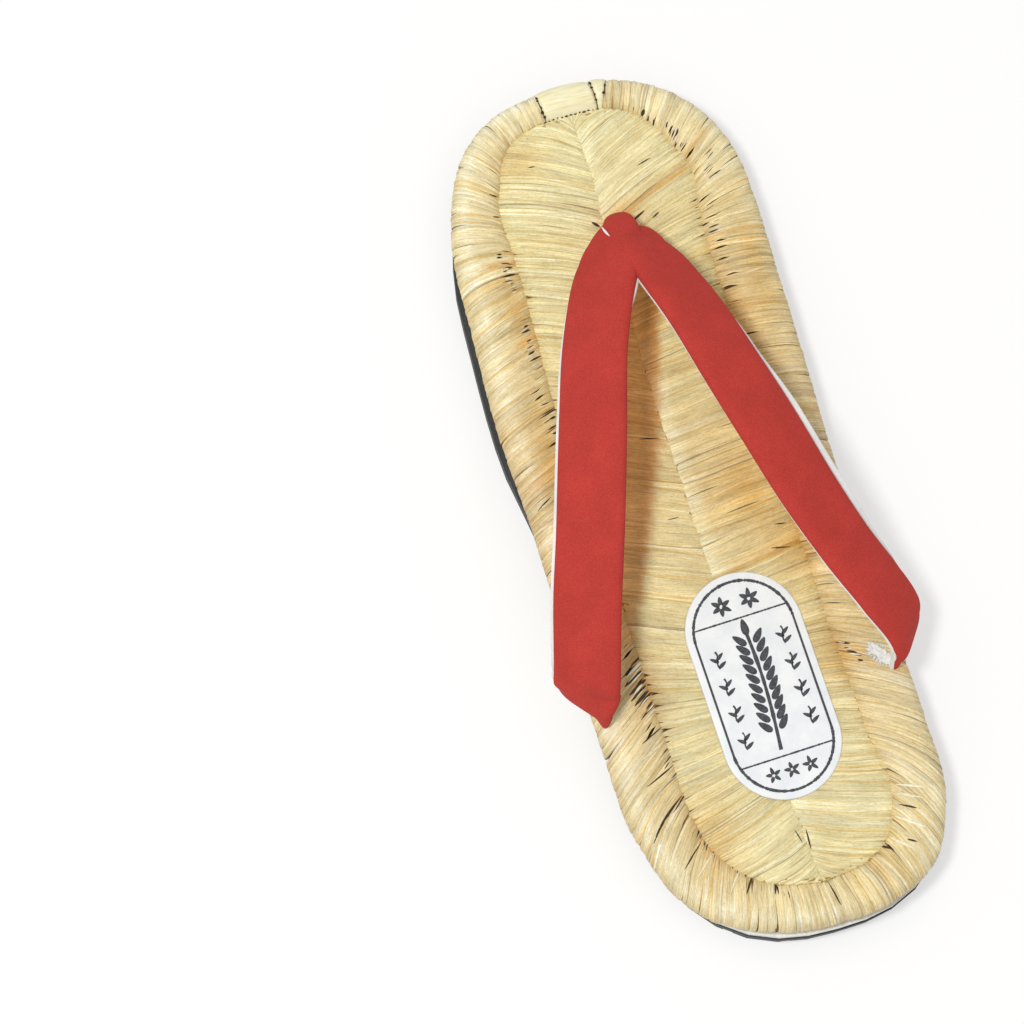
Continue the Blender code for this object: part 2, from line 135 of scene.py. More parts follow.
THONG = (
    (0.660, 0.062, 0.180, 0.90),
    (0.661, 0.062, 0.330, 0.95),
    (0.652, 0.061, 0.455, 1.00),
    (0.632, 0.059, 0.560, 1.06),
    (0.604, 0.056, 0.630, 1.12),
    (0.575, 0.054, 0.660, 1.00),
)

# Straw. How far the straws' inner ends lie towards the toe, in shares of the rim width
LEFT_SLANT = (
    (-1.0, 0.0), (-0.9, 0.35), (-0.7, 0.85), (-0.45, 0.75), (-0.1, 0.42), (0.5, 0.36), (0.8, 0.2), (1.0, 0.0),
)
RIGHT_SLANT = (
    (-1.0, 0.0), (-0.9, 0.45), (-0.75, 0.9), (-0.5, 0.6), (-0.2, 0.25), (0.3, 0.12), (0.8, 0.05), (1.0, 0.0),
)
# Along a side, heel tip to toe tip: where a lane's straws reach the centre line, in shares of the half length
LEFT_CENTRE = (
    (0.00, -0.885), (0.04, -0.862), (0.08, -0.822), (0.12, -0.753), (0.16, -0.684), (0.20, -0.623),
    (0.24, -0.575), (0.28, -0.522), (0.32, -0.464), (0.36, -0.410), (0.40, -0.340), (0.44, -0.245),
    (0.48, -0.148), (0.56, 0.044), (0.64, 0.236), (0.72, 0.430), (0.76, 0.507), (0.80, 0.573), (0.84, 0.645),
    (0.88, 0.728), (0.92, 0.815), (0.96, 0.879), (1.00, 0.912),
)
RIGHT_CENTRE = (
    (0.00, -0.885), (0.04, -0.853), (0.08, -0.812), (0.12, -0.746), (0.16, -0.670), (0.20, -0.605),
    (0.24, -0.540), (0.28, -0.470), (0.32, -0.395), (0.36, -0.325), (0.40, -0.250), (0.44, -0.160),
    (0.48, -0.060), (0.56, 0.138), (0.64, 0.335), (0.68, 0.424), (0.72, 0.500), (0.76, 0.552), (0.80, 0.600),
    (0.84, 0.661), (0.88, 0.739), (0.92, 0.830), (0.96, 0.900), (1.00, 0.912),
)
# Along a side: how far the locks part where they dive into the groove
LEFT_LOOSE = (
    (0.0, 0.6), (0.03, 0.5), (0.06, 0.8), (0.10, 0.4), (0.14, 0.6), (0.18, 0.5), (0.22, 0.7), (0.27, 0.5),
    (0.295, 1.6), (0.355, 1.6), (0.40, 0.5), (0.55, 0.4), (0.60, 1.0), (0.64, 1.0), (0.655, 0.3),
    (0.675, 1.0), (0.70, 1.0), (0.712, 0.3), (0.73, 1.0), (0.79, 1.0), (0.81, 0.3), (0.86, 0.4), (0.93, 0.15),
    (1.0, 0.1),
)
RIGHT_LOOSE = (
    (0.0, 0.6), (0.03, 0.8), (0.06, 0.3), (0.09, 0.6), (0.12, 0.2), (0.28, 0.2), (0.31, 0.7), (0.37, 0.8),
    (0.42, 0.5), (0.60, 0.5), (0.66, 0.7), (0.70, 1.0), (0.79, 0.9), (0.82, 0.5), (0.84, 1.0), (0.875, 1.0),
    (0.885, 0.3), (0.905, 0.9), (0.93, 0.9), (0.94, 0.1), (1.0, 0.1),
)
# Deep creases between bundles of the roll: share of a side (negative on the left), depth and width in mm
CREASES = (
    (0.004, 0.8, 1.1), (0.062, 0.6, 1.3), (0.098, 0.4, 1.2), (0.160, 0.4, 1.2), (0.240, 0.3, 1.3),
    (-0.034, 0.4, 1.2), (-0.060, 0.8, 1.1), (-0.110, 0.5, 1.3), (-0.150, 0.5, 1.2), (-0.206, 0.9, 1.2),
    (-0.262, 0.4, 1.3), (-0.330, 0.5, 1.2), (-0.410, 0.4, 1.2), (-0.520, 0.3, 1.2), (-0.600, 0.4, 1.2),
    (0.420, 0.4, 1.2), (0.545, 0.5, 1.1), (0.680, 0.4, 1.2), (0.770, 0.5, 1.2), (0.830, 0.4, 1.2),
    (0.905, 0.4, 1.2), (-0.720, 0.4, 1.2), (-0.820, 0.3, 1.3),
)
# Painted shade in single gaps (dark) and painted highlights on single straws (pale): form, side, share and
# place at each end, width in mm, tone
GAPS = (
    ("roll", -1, 0.207, 0.43, 0.236, 0.90, 0.85, "dark"),
    ("roll", -1, 0.218, 0.70, 0.240, 1.00, 0.50, "dark"),
    ("roll", -1, 0.201, 0.45, 0.226, 0.86, 0.90, "pale"),
    ("roll", -1, 0.062, 0.78, 0.059, 0.97, 0.75, "dark"),
    ("roll", -1, 0.046, 0.90, 0.043, 0.99, 0.80, "dark"),
    ("roll", -1, 0.066, 0.74, 0.064, 0.92, 0.80, "pale"),
    ("roll", 1, 0.006, 0.52, 0.002, 0.84, 0.50, "dark"),
    ("roll", 1, 0.010, 0.86, 0.004, 0.98, 0.60, "dark"),
    ("roll", 1, 0.090, 0.80, 0.084, 0.96, 0.70, "dark"),
    ("roll", 1, 0.112, 0.60, 0.108, 0.72, 0.55, "dark"),
    ("roll", 1, 0.545, 0.48, 0.547, 0.61, 0.80, "dark"),
    ("roll", -1, 0.533, 0.42, 0.542, 0.58, 0.45, "dark"),
    ("roll", -1, 0.838, 0.80, 0.842, 0.90, 0.45, "dark"),
    ("roll", -1, 0.862, 0.78, 0.866, 0.90, 0.40, "dark"),
    ("lane", 1, 0.820, 0.58, 0.818, 0.74, 0.75, "dark"),
    ("lane", 1, 0.812, 0.50, 0.809, 0.72, 1.30, "pale"),
    ("lane", 1, 0.806, 0.44, 0.804, 0.52, 0.50, "dark"),
    ("lane", 1, 0.870, 0.30, 0.872, 0.46, 0.40, "dark"),
    ("lane", 1, 0.105, 0.96, 0.075, 0.97, 0.50, "dark"),
    ("lane", -1, 0.115, 0.90, 0.095, 0.93, 0.35, "dark"),
    ("lane", -1, 0.900, 0.30, 0.902, 0.38, 0.50, "dark"),
    ("lane", -1, 0.600, 0.72, 0.604, 0.92, 0.35, "dark"),
    ("lane", -1, 0.520, 0.74, 0.524, 0.86, 0.30, "dark"),
    ("lane", 1, 0.430, 0.14, 0.436, 0.34, 0.45, "dark"),
    ("lane", 1, 0.452, 0.10, 0.455, 0.22, 0.40, "dark"),
    ("roll", 1, 0.748, 0.40, 0.750, 0.66, 0.85, "pale"),
    ("roll", 1, 0.690, 0.42, 0.688, 0.74, 0.80, "pale"),
    ("roll", -1, 0.700, 0.50, 0.712, 0.74, 0.70, "pale"),
    ("lane", -1, 0.850, 0.40, 0.852, 0.80, 0.70, "pale"),
    ("lane", -1, 0.890, 0.45, 0.892, 0.75, 0.60, "pale"),
    ("lane", -1, 0.850, 0.88, 0.847, 0.95, 0.90, "dark"),
    ("roll", 1, 0.170, 0.55, 0.166, 0.86, 0.80, "pale"),
    ("roll", 1, 0.158, 0.60, 0.154, 0.90, 0.90, "pale"),
    ("roll", 1, 0.146, 0.62, 0.142, 0.84, 0.55, "dark"),
    ("roll", 1, 0.130, 0.55, 0.126, 0.88, 1.00, "pale"),
    ("roll", 1, 0.104, 0.60, 0.100, 0.90, 0.90, "pale"),
    ("roll", 1, 0.048, 0.62, 0.046, 0.92, 0.80, "pale"),
    ("roll", -1, 0.112, 0.62, 0.108, 0.92, 0.90, "pale"),
    ("roll", -1, 0.094, 0.70, 0.091, 0.92, 0.60, "dark"),
    ("roll", -1, 0.150, 0.60, 0.148, 0.90, 0.80, "pale"),
    ("roll", -1, 0.166, 0.55, 0.170, 0.86, 0.50, "dark"),
    ("roll", -1, 0.262, 0.60, 0.276, 0.92, 0.50, "dark"),
    ("roll", -1, 0.286, 0.62, 0.300, 0.92, 0.80, "pale"),
    ("roll", -1, 0.300, 0.66, 0.312, 0.92, 0.45, "dark"),
)
# Clusters of slits by the groove, each slit painted shade with a painted highlight beside it:
# side, share and place of the first and the last, how many, length in places, width in mm
CLUSTERS = (
    (1, 0.915, 0.87, 0.897, 0.94, 3, 0.10, 0.85),
    (1, 0.884, 0.77, 0.859, 0.86, 6, 0.10, 0.75),
    (1, 0.826, 0.68, 0.802, 0.70, 5, 0.11, 0.50),
    (1, 0.752, 0.86, 0.736, 0.80, 3, 0.10, 0.50),
    (-1, 0.792, 0.79, 0.738, 0.78, 9, 0.07, 0.60),
    (-1, 0.706, 0.82, 0.668, 0.84, 6, 0.08, 0.60),
    (-1, 0.622, 0.85, 0.596, 0.85, 4, 0.09, 0.65),
    (-1, 0.376, 0.86, 0.352, 0.80, 4, 0.17, 1.15),
    (-1, 0.348, 0.84, 0.326, 0.86, 4, 0.15, 0.85),
    (1, 0.332, 0.86, 0.308, 0.74, 6, 0.07, 0.50),
    (-1, 0.292, 0.88, 0.256, 0.89, 5, 0.09, 0.45),
    (-1, 0.182, 0.92, 0.146, 0.92, 5, 0.08, 0.42),
    (-1, 0.118, 0.93, 0.086, 0.94, 4, 0.07, 0.42),
)
# Straws tinted along part of their length, for stains and painted shade: roll or lane, side, share, half
# width in mm, places, tint to multiply by
STAINS_AND_SHADE = (
    # painted warm shade on the straw beside the red knob
    ("lane", 1, 0.836, 1.5, 0.02, 0.92, (0.92, 0.66, 0.40)),
    ("lane", 1, 0.500, 2.6, 0.00, 0.85, (0.88, 0.79, 0.66)),
    ("lane", 1, 0.435, 1.6, 0.00, 0.80, (0.88, 0.77, 0.62)),
    ("lane", 1, 0.620, 2.2, 0.10, 0.80, (0.90, 0.82, 0.70)),
    ("lane", 1, 0.488, 0.9, 0.30, 1.00, (1.05, 1.10, 1.20)),
    ("lane", -1, 0.815, 1.4, 0.10, 0.70, (0.94, 0.84, 0.68)),
    ("roll", -1, 0.772, 1.2, 0.60, 1.00, (0.92, 0.70, 0.46)),
    ("roll", -1, 0.682, 1.0, 0.70, 1.00, (0.92, 0.70, 0.46)),
    ("roll", 1, 0.845, 1.6, 0.50, 0.95, (0.94, 0.80, 0.60)),
    ("roll", -1, 0.560, 2.5, 0.40, 0.90, (0.94, 0.84, 0.70)),
)
# Painted warm shade: the left strap's cast shadow painted into the straw beside and under it: along, where it
# ends across, how strong
SHADE = (
    (-0.34, -0.68, 0.0), (-0.25, -0.565, 0.7), (-0.187, -0.485, 0.85), (-0.061, -0.327, 0.95),
    (0.132, -0.097, 0.95), (0.30, 0.040, 1.0), (0.464, 0.175, 1.12), (0.53, 0.23, 0.8), (0.60, 0.26, 0.0),
)
# tint of the painted shade
SHADE_TINT = (1.0, 0.60, 0.37)

RED = (0.460, 0.043, 0.033)
WHITE = (0.80, 0.80, 0.79)
BLACK_RUBBER = (0.020, 0.024, 0.026)
# the core under the straws: dark brown as painted shade deep in the gaps
CORE = (0.16, 0.085, 0.030)
INK = (0.012, 0.013, 0.018)

rng = np.random.default_rng(20)


def srgb(r, g, b):
    """Linear colour of 8-bit display values."""
    shares = [c / 255 for c in (r, g, b)]
    return np.array([c / 12.92 if c < 0.0404 else ((c + 0.055) / 1.055) ** 2.4 for c in shares])


def eased(rows, at):
    """Value at a place along the rows, eased from each row to the next; at may be an array."""
    places = np.array([row[0] for row in rows])
    values = np.array([row[1] for row in rows])
    at = np.clip(at, places[0], places[-1])
    index = np.clip(np.searchsorted(places, at, side="right") - 1, 0, len(places) - 2)
    share = (at - places[index]) / (places[index + 1] - places[index])
    return values[index] + (values[index + 1] - values[index]) * share * share * (3 - 2 * share)


def ramp(low, high, at):
    share = np.clip((at - low) / (high - low), 0, 1)
    return share * share * (3 - 2 * share)


def lean(along):
    return HALF_WIDTH * eased(LEAN, along / HALF_LENGTH)


def half_width(along):
    return HALF_WIDTH * eased(HALF, along / HALF_LENGTH)


def lift(along):
    share = along / HALF_LENGTH
    heel = HEEL_SPRING * (np.maximum(HEEL_FLAT[0] - share, 0) / (1 + HEEL_FLAT[0])) ** 2
    toe = TOE_SPRING * (np.maximum(share - FOREFOOT_FLAT[1], 0) / (1 - FOREFOOT_FLAT[1])) ** 2
    phase = np.clip((share - HEEL_FLAT[1]) / (FOREFOOT_FLAT[0] - HEEL_FLAT[1]), 0, 1)
    return heel + toe + ARCH_RISE * np.sin(math.pi * phase) ** 2


def straw_floor(along):
    share = (HALF_LENGTH - along) / LENGTH
    return lift(along) + SOLE_THICK + MIDSOLE_TOE + (MIDSOLE_HEEL - MIDSOLE_TOE) * share + 2 * GAP


def outline():
    """The right side of the outline from heel tip to toe tip: along, share of the half width."""
    angle = np.linspace(0, math.pi / 2, 400)
    reach = np.sin(angle) ** (2 / ROUND_POWER)
    share = np.cos(angle) ** (2 / ROUND_POWER)
    share[-1] = 0
    heel = -(HALF_LENGTH - HEEL_ROUND) - HEEL_ROUND * reach
    toe = HALF_LENGTH - TOE_ROUND + TOE_ROUND * reach
    straight = np.linspace(heel[0], toe[0], 400)[1:-1]
    along = np.concatenate([heel[::-1], straight, toe])
    return along, np.concatenate([share[::-1], np.ones(len(straight)), share])


def side_curve(side):
    along, share = outline()
    x = lean(along) + side * share * half_width(along)
    steps = np.hypot(np.diff(x), np.diff(along))
    run = np.concatenate([[0], np.cumsum(steps)])
    return run, x, along


SIDES = {side: side_curve(side) for side in (-1, 1)}
TOTAL = {side: SIDES[side][0][-1] for side in (-1, 1)}
SLANTS = {-1: LEFT_SLANT, 1: RIGHT_SLANT}
LOOSE = {-1: LEFT_LOOSE, 1: RIGHT_LOOSE}
CENTRE = {-1: LEFT_CENTRE, 1: RIGHT_CENTRE}
NAMES = {-1: "left", 1: "right"}


def edge_at(side, run):
    """Outline point at a run from the heel tip; past a tip it goes on round the other side."""
    lengths, *here = SIDES[side]
    others, *there = SIDES[-side]
    total = lengths[-1]
    inside = (run >= 0) & (run <= total)
    back = np.where(run < 0, -run, others[-1] - (run - total))
    pairs = zip(here, there)
    return [np.where(inside, np.interp(run, lengths, a), np.interp(back, others, b)) for a, b in pairs]


def inward_at(side, run, distance):
    x, y = edge_at(side, run)
    held = np.clip(y, -(HALF_LENGTH - HEEL_ROUND), HALF_LENGTH - TOE_ROUND)
    to_x = lean(held)
    reach = np.maximum(np.hypot(to_x - x, held - y), 1e-6)
    share = np.minimum(distance / reach, 1)
    return x + (to_x - x) * share, y + (held - y) * share


def rim_at(y):
    return RIM_WIDTH * eased(RIM, y / HALF_LENGTH)


def curve(p, a, b, n, share):
    """A place between a and b, on a smooth curve that also passes p and n."""
    bend = (2 * p - 5 * a + 4 * b - n) * share ** 2
    twist = (3 * a - p - 3 * b + n) * share ** 3
    return 0.5 * (2 * a + (b - p) * share + bend + twist)


def dense(rows, count=90):
    """A smooth curve through the rows, evenly spaced: share of its length, then each column."""
    rows = np.array(rows, float)
    ends = np.vstack([2 * rows[0] - rows[1], rows, 2 * rows[-1] - rows[-2]])
    share = np.linspace(0, 1, 16, endpoint=False)[:, None]
    found = [curve(*ends[index:index + 4], share) for index in range(len(rows) - 1)]
    found = np.vstack(found + [rows[-1:]])
    steps = np.diff(found * (RIM_WIDTH, STRAW_THICK), axis=0)
    run = np.concatenate([[0], np.cumsum(np.hypot(*steps.T))])
    at = np.linspace(0, run[-1], count)
    return np.linspace(0, 1, count), np.interp(at, run, found[:, 0]), np.interp(at, run, found[:, 1])


ROLL_CURVE = dense(ROLL)
HEEL_DRAWN = 1.5 * MM


def crease_field(side, run):
    total = TOTAL[side]
    depth = np.zeros_like(run)
    for share, deep, wide in CREASES:
        if (share < 0) == (side < 0):
            gap = (run - abs(share) * total) / (wide * MM)
            depth += deep * MM * np.exp(-np.abs(gap) ** 1.5)
    return depth


def table_at(table, at, column=1):
    """A table's column at places along its first one, straight from row to row."""
    return np.interp(at, [row[0] for row in table], [row[column] for row in table])


def roll_step(place):
    """How far in from the edge the roll is at a place, in shares of the rim width."""
    return np.interp(place, ROLL_CURVE[0], ROLL_CURVE[1])


def roll_point(side, run, place):
    """Point of the edge roll; place runs from its underside over its top into the groove."""
    step = roll_step(place)
    height = np.interp(place, ROLL_CURVE[0], ROLL_CURVE[2])
    _, edge_y = edge_at(side, run)
    crown = np.sin(math.pi * np.clip(place, 0, 1))
    dip = crease_field(side, run) * (0.35 + 0.65 * crown)
    drawn = HEEL_DRAWN * (1 - ramp(-0.985, -0.90, edge_y / HALF_LENGTH)) * (1 - ramp(0.35, 0.75, place))
    x, y = inward_at(side, run, step * rim_at(edge_y) + dip * np.clip(1 - 2 * step, 0, 1) * 0.6 + drawn)
    return np.stack([x, y, straw_floor(y) + height * STRAW_THICK - dip * ramp(0.2, 0.6, place)], -1)


def lane_point(side, run, place):
    """Point of a lane; place runs from the groove to the centre line."""
    _, edge_y = edge_at(side, run)
    from_x, from_y = inward_at(side, run, rim_at(edge_y) * 0.97)
    to_y = HALF_LENGTH * table_at(CENTRE[side], run / TOTAL[side])
    x = from_x + (lean(to_y) - from_x) * place
    y = from_y + (to_y - from_y) * place
    bow = np.sin(math.pi * np.clip(place, 0, 1)) * 1.2 * MM
    y = y + bow * np.clip(to_y / HALF_LENGTH, -1, 1)
    return np.stack([x, y, straw_floor(y) + table_at(LANE, place) * STRAW_THICK], -1)


def unit(vectors):
    return vectors / np.maximum(np.linalg.norm(vectors, axis=-1, keepdims=True), 1e-12)


def link(name, data):
    obj = bpy.data.objects.new(name, data)
    bpy.context.scene.collection.objects.link(obj)
    return obj


def new_mesh(name, points, faces):
    mesh = bpy.data.meshes.new(name)
    mesh.from_pydata([tuple(point) for point in points], [], [tuple(face) for face in faces])
    mesh.update()
    return mesh


ACROSS = np.array([-1.0, -0.5, 0.5, 1.0])
ARCH = np.array([0.0, 0.85, 0.85, 0.0])


def welded(node):
    """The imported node's mesh, with its corners joined."""
    bm = bmesh.new()
    bm.from_mesh(node.data)
    bmesh.ops.remove_doubles(bm, verts=bm.verts, dist=1e-6)
    return bm


def ribbons(name, spines, normals, widths, arch, tones, mat):
    """Many arched ribbons as one mesh. spines and tones: (strand, station, 3)."""
    count, stations, _ = spines.shape
    wide = len(ACROSS)
    side = unit(np.cross(unit(np.gradient(spines, axis=1)), normals))
    points = spines[:, :, None] + side[:, :, None] * ACROSS[:, None] * widths[:, :, None, None] / 2
    points = points + normals[:, :, None] * (ARCH[:, None] * arch[:, :, None, None])
    base = np.arange(count)[:, None, None] * stations * wide
    corner = (base + np.arange(stations - 1)[:, None] * wide + np.arange(wide - 1)).reshape(-1)
    faces = np.stack([corner, corner + 1, corner + wide + 1, corner + wide], -1)
    mesh = bpy.data.meshes.new(name)
    mesh.vertices.add(count * stations * wide)
    mesh.vertices.foreach_set("co", points.reshape(-1))
    mesh.loops.add(faces.size)
    mesh.loops.foreach_set("vertex_index", faces.reshape(-1))
    mesh.polygons.add(len(faces))
    mesh.polygons.foreach_set("loop_start", np.arange(len(faces)) * 4)
    mesh.polygons.foreach_set("use_smooth", np.ones(len(faces), bool))
    mesh.update(calc_edges=True)
    colours = np.ones((count, stations, wide, 4))
    colours[..., :3] = tones[:, :, None]
    mesh.color_attributes.new("tone", "FLOAT_COLOR", "POINT").data.foreach_set("color", colours.reshape(-1))
    steps = np.linalg.norm(np.diff(spines, axis=1), axis=-1)
    fibre = np.zeros((count, stations, wide, 3))
    fibre[..., 0] = ACROSS * widths[:, :, None] / 2 / MM
    fibre[:, 1:, :, 1] = np.cumsum(steps, 1)[:, :, None] / MM
    fibre[..., 2] = rng.uniform(0, 400, count)[:, None, None]
    mesh.attributes.new("fibre", "FLOAT_VECTOR", "POINT").data.foreach_set("vector", fibre.reshape(-1))
    # each ribbon has its own cell in the bake's layout
    columns = int(math.ceil(math.sqrt(count * 14)))
    rows = int(math.ceil(count / columns))
    cell = np.arange(count)[:, None, None]
    places = np.zeros((count, stations, wide, 2))
    places[..., 0] = (cell % columns + 0.1 + 0.8 * (ACROSS + 1) / 2) / columns
    places[..., 1] = (cell // columns + 0.02 + 0.96 * np.linspace(0, 1, stations)[:, None]) / rows
    uv = mesh.uv_layers.new(name="OFBake")
    uv.data.foreach_set("uv", places.reshape(-1, 2)[faces.reshape(-1)].reshape(-1))
    mesh.materials.append(mat)
    obj = link(name, mesh)
    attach(obj, "root")


# Straw tones, in display values, along the half length
TONES = (
    (-1.0, (232, 219, 173)), (-0.5, (226, 211, 165)), (0.1, (222, 200, 151)), (0.6, (231, 217, 168)),
    (1.0, (234, 223, 177)),
)
# How far single straws depart from the mean tone
RIM_CONTRAST = 1.12
LANE_CONTRAST = 1.12
# Soft spots: along, out, radius along and across in mm, tint to multiply by
SPOTS = (
    # painted warm shade beside the red knob
    (0.67, 0.10, 5, 6, (0.92, 0.74, 0.52)),
    (0.68, 0.34, 40, 15, (0.955, 0.925, 0.905)),
    (0.22, -0.78, 50, 9, (0.97, 1.01, 1.06)),
    (0.42, 0.82, 22, 8, (0.95, 0.92, 0.84)),
    (-0.98, 0.10, 12, 32, (0.96, 0.945, 0.92)),
    (0.00, 0.36, 18, 8, (0.95, 0.80, 0.60)),
    (-0.16, 0.55, 12, 7, (0.93, 0.76, 0.54)),
    # painted shade where the right strap's shadow falls on the rim
    (0.30, 0.62, 26, 6, (0.76, 0.56, 0.36)),
    # painted shade beside the left strap's lower end, where its shadow falls
    (-0.36, -0.62, 12, 6, (0.70, 0.52, 0.36)),
    (-0.42, 0.60, 10, 8, (0.90, 0.74, 0.56)),
    (-0.74, -0.45, 14, 8, (0.92, 0.78, 0.62)),
    (0.16, -0.78, 24, 4, (0.92, 0.78, 0.60)),
    (0.52, -0.72, 14, 4, (0.90, 0.76, 0.58)),
    (0.86, -0.40, 5, 7, (0.92, 0.78, 0.60)),
    (0.50, 0.84, 16, 4, (0.90, 0.76, 0.58)),
)


def straw_tone(points):
    """Linear colour of the straw at each point, with the painted shade beside the left strap and the soft
    spots.
    """
    along = points[..., 1] / HALF_LENGTH
    out = points[..., 0] / HALF_WIDTH
    columns = [[(at, srgb(*tone)[channel]) for at, tone in TONES] for channel in range(3)]
    tone = np.stack([eased(rows, along) for rows in columns], -1)
    for spot_along, spot_out, long, wide, tint in SPOTS:
        far = (along - spot_along) * HALF_LENGTH / (long * MM)
        aside = (out - spot_out) * HALF_WIDTH / (wide * MM)
        tone = tinted(tone, np.exp(-(far ** 2 + aside ** 2)), tint)
    # painted shade of the left strap's shadow, with a darker painted fringe just inside its edge
    edge = table_at(SHADE, along)
    share = table_at(SHADE, along, 2) * (1 - ramp(edge - 0.02, edge + 0.035, out))
    share = share * ramp(edge - 0.38, edge - 0.28, out)
    fringe = 1 - 0.16 * ramp(edge - 0.14, edge - 0.07, out)
    return tinted(tone, share, np.array(SHADE_TINT) * fringe[..., None])


def tinted(tone, share, tint):
    """The tone, multiplied by the tint in a share that varies."""
    return tone * (1 - share[..., None] * (1 - np.array(tint)))


def stain_and_shade_tint(kind, side, run, place):
    """What single straws are multiplied by for their stains and painted shade, at their runs and places."""
    tint = np.ones(run.shape + (3,))
    for row_kind, row_side, at, half, low, high, tone in STAINS_AND_SHADE:
        if (row_kind, row_side) == (kind, side):
            share = np.exp(-(((run - at * TOTAL[side]) / (half * MM)) ** 2))
            share = share * ramp(low - 0.06, low + 0.06, place) * (1 - ramp(high - 0.08, high + 0.08, place))
            tint = tinted(tint, share, tone)
    return tint


def noise(tree, place, scale, detail=3.0, rough=0.6, stretch=None):
    """A noise's factor over a place, stretched by a vector where one is given."""
    if stretch:
        node = tree.nodes.new("ShaderNodeVectorMath")
        node.operation = "MULTIPLY"
        node.inputs[1].default_value = stretch
        tree.links.new(place, node.inputs[0])
        place = node.outputs["Vector"]
    node = tree.nodes.new("ShaderNodeTexNoise")
    for name, value in (("Scale", scale), ("Detail", detail), ("Roughness", rough)):
        node.inputs[name].default_value = value
    tree.links.new(place, node.inputs["Vector"])
    return node.outputs["Fac"]


def stops(tree, value, rows):
    """A colour ramp; rows: (position, colour)."""
    node = tree.nodes.new("ShaderNodeValToRGB")
    elements = node.color_ramp.elements
    while len(elements) < len(rows):
        elements.new(0.5)
    for element, (place, colour) in zip(elements, rows):
        element.position = place
        element.color = (*colour, 1)
    tree.links.new(value, node.inputs["Fac"])
    return node.outputs["Color"]


def multiplied(tree, first, second):
    node = tree.nodes.new("ShaderNodeMix")
    node.data_type = "RGBA"
    node.blend_type = "MULTIPLY"
    node.inputs["Factor"].default_value = 1.0
    tree.links.new(first, node.inputs[6])
    tree.links.new(second, node.inputs[7])
    return node.outputs[2]


def attribute(tree, name, output):
    node = tree.nodes.new("ShaderNodeAttribute")
    node.attribute_name = name
    return node.outputs[output]


def material(name, roughness, layers, relief=None, along_fibre=False, toned=False, settings=()):
    """A material of colour layers multiplied together: colour stops, then what noise() takes.

    relief gives the bump's strength and distance, and its own noise where that isn't the first layer's.
    """
    mat = bpy.data.materials.new(name)
    mat.use_nodes = True
    tree = mat.node_tree
    shader = tree.nodes["Principled BSDF"]
    for key, value in (("Roughness", roughness), *settings):
        shader.inputs[key].default_value = value
    if along_fibre:
        place = attribute(tree, "fibre", "Vector")
    else:
        place = tree.nodes.new("ShaderNodeTexCoord").outputs["Object"]
    colour = attribute(tree, "tone", "Color") if toned else None
    height = None
    for rows, *shape in layers:
        value = noise(tree, place, *shape) if shape else pores(tree, place)
        height = height or value
        tint = stops(tree, value, rows)
        colour = multiplied(tree, colour, tint) if colour else tint
    if layers:
        tree.links.new(colour, shader.inputs["Base Color"])
    if relief:
        strength, distance, *shape = relief
        node = tree.nodes.new("ShaderNodeBump")
        node.inputs["Strength"].default_value = strength
        node.inputs["Distance"].default_value = distance
        tree.links.new(noise(tree, place, *shape) if shape else height, node.inputs["Height"])
        tree.links.new(node.outputs["Normal"], shader.inputs["Normal"])
    return mat


def pores(tree, place):
    node = tree.nodes.new("ShaderNodeTexVoronoi")
    node.inputs["Scale"].default_value = 1400.0
    tree.links.new(place, node.inputs["Vector"])
    return node.outputs["Distance"]


def straw_material():
    """Pale straw with fine fibres along each strand."""
    streaks = (0.28, (0.68, 0.58, 0.44)), (0.45, (0.95, 0.92, 0.87)), (0.72, (1.12, 1.13, 1.18))
    washes = (0.30, (0.88, 0.81, 0.70)), (0.55, (1.0, 1.0, 1.0)), (0.75, (1.06, 1.07, 1.10))
    flecks = (0.30, (0.80, 0.75, 0.68)), (0.48, (1.0, 1.0, 1.0)), (0.72, (1.10, 1.11, 1.15))
    layers = (
        (streaks, 1.0, 4.0, 0.65, (7.0, 0.22, 1.0)),
        (washes, 1.0, 2.0, 0.5, (1.6, 0.10, 1.0)),
        (flecks, 1.0, 3.0, 0.7, (2.6, 0.9, 1.0)),
    )
    dull = (("Specular IOR Level", 0.35),)
    return material("straw_strands", 0.48, layers, (0.5, 0.00022), True, True, dull)


def cloth_material(name, colour, dark, light, grain):
    fuzz = (0.25, dark), (0.5, colour), (0.78, light)
    wash = (0.35, (0.93, 0.93, 0.93)), (0.65, (1.05, 1.04, 1.04))
    settings = (
        ("Specular IOR Level", 0.18),
        ("Sheen Weight", 0.10),
        ("Sheen Roughness", 0.5),
        ("Sheen Tint", (*light, 1)),
    )
    layers = (fuzz, grain, 4.0, 0.7), (wash, 90.0, 3.0, 0.6)
    return material(name, 0.88, layers, (0.35, 0.00012), settings=settings)


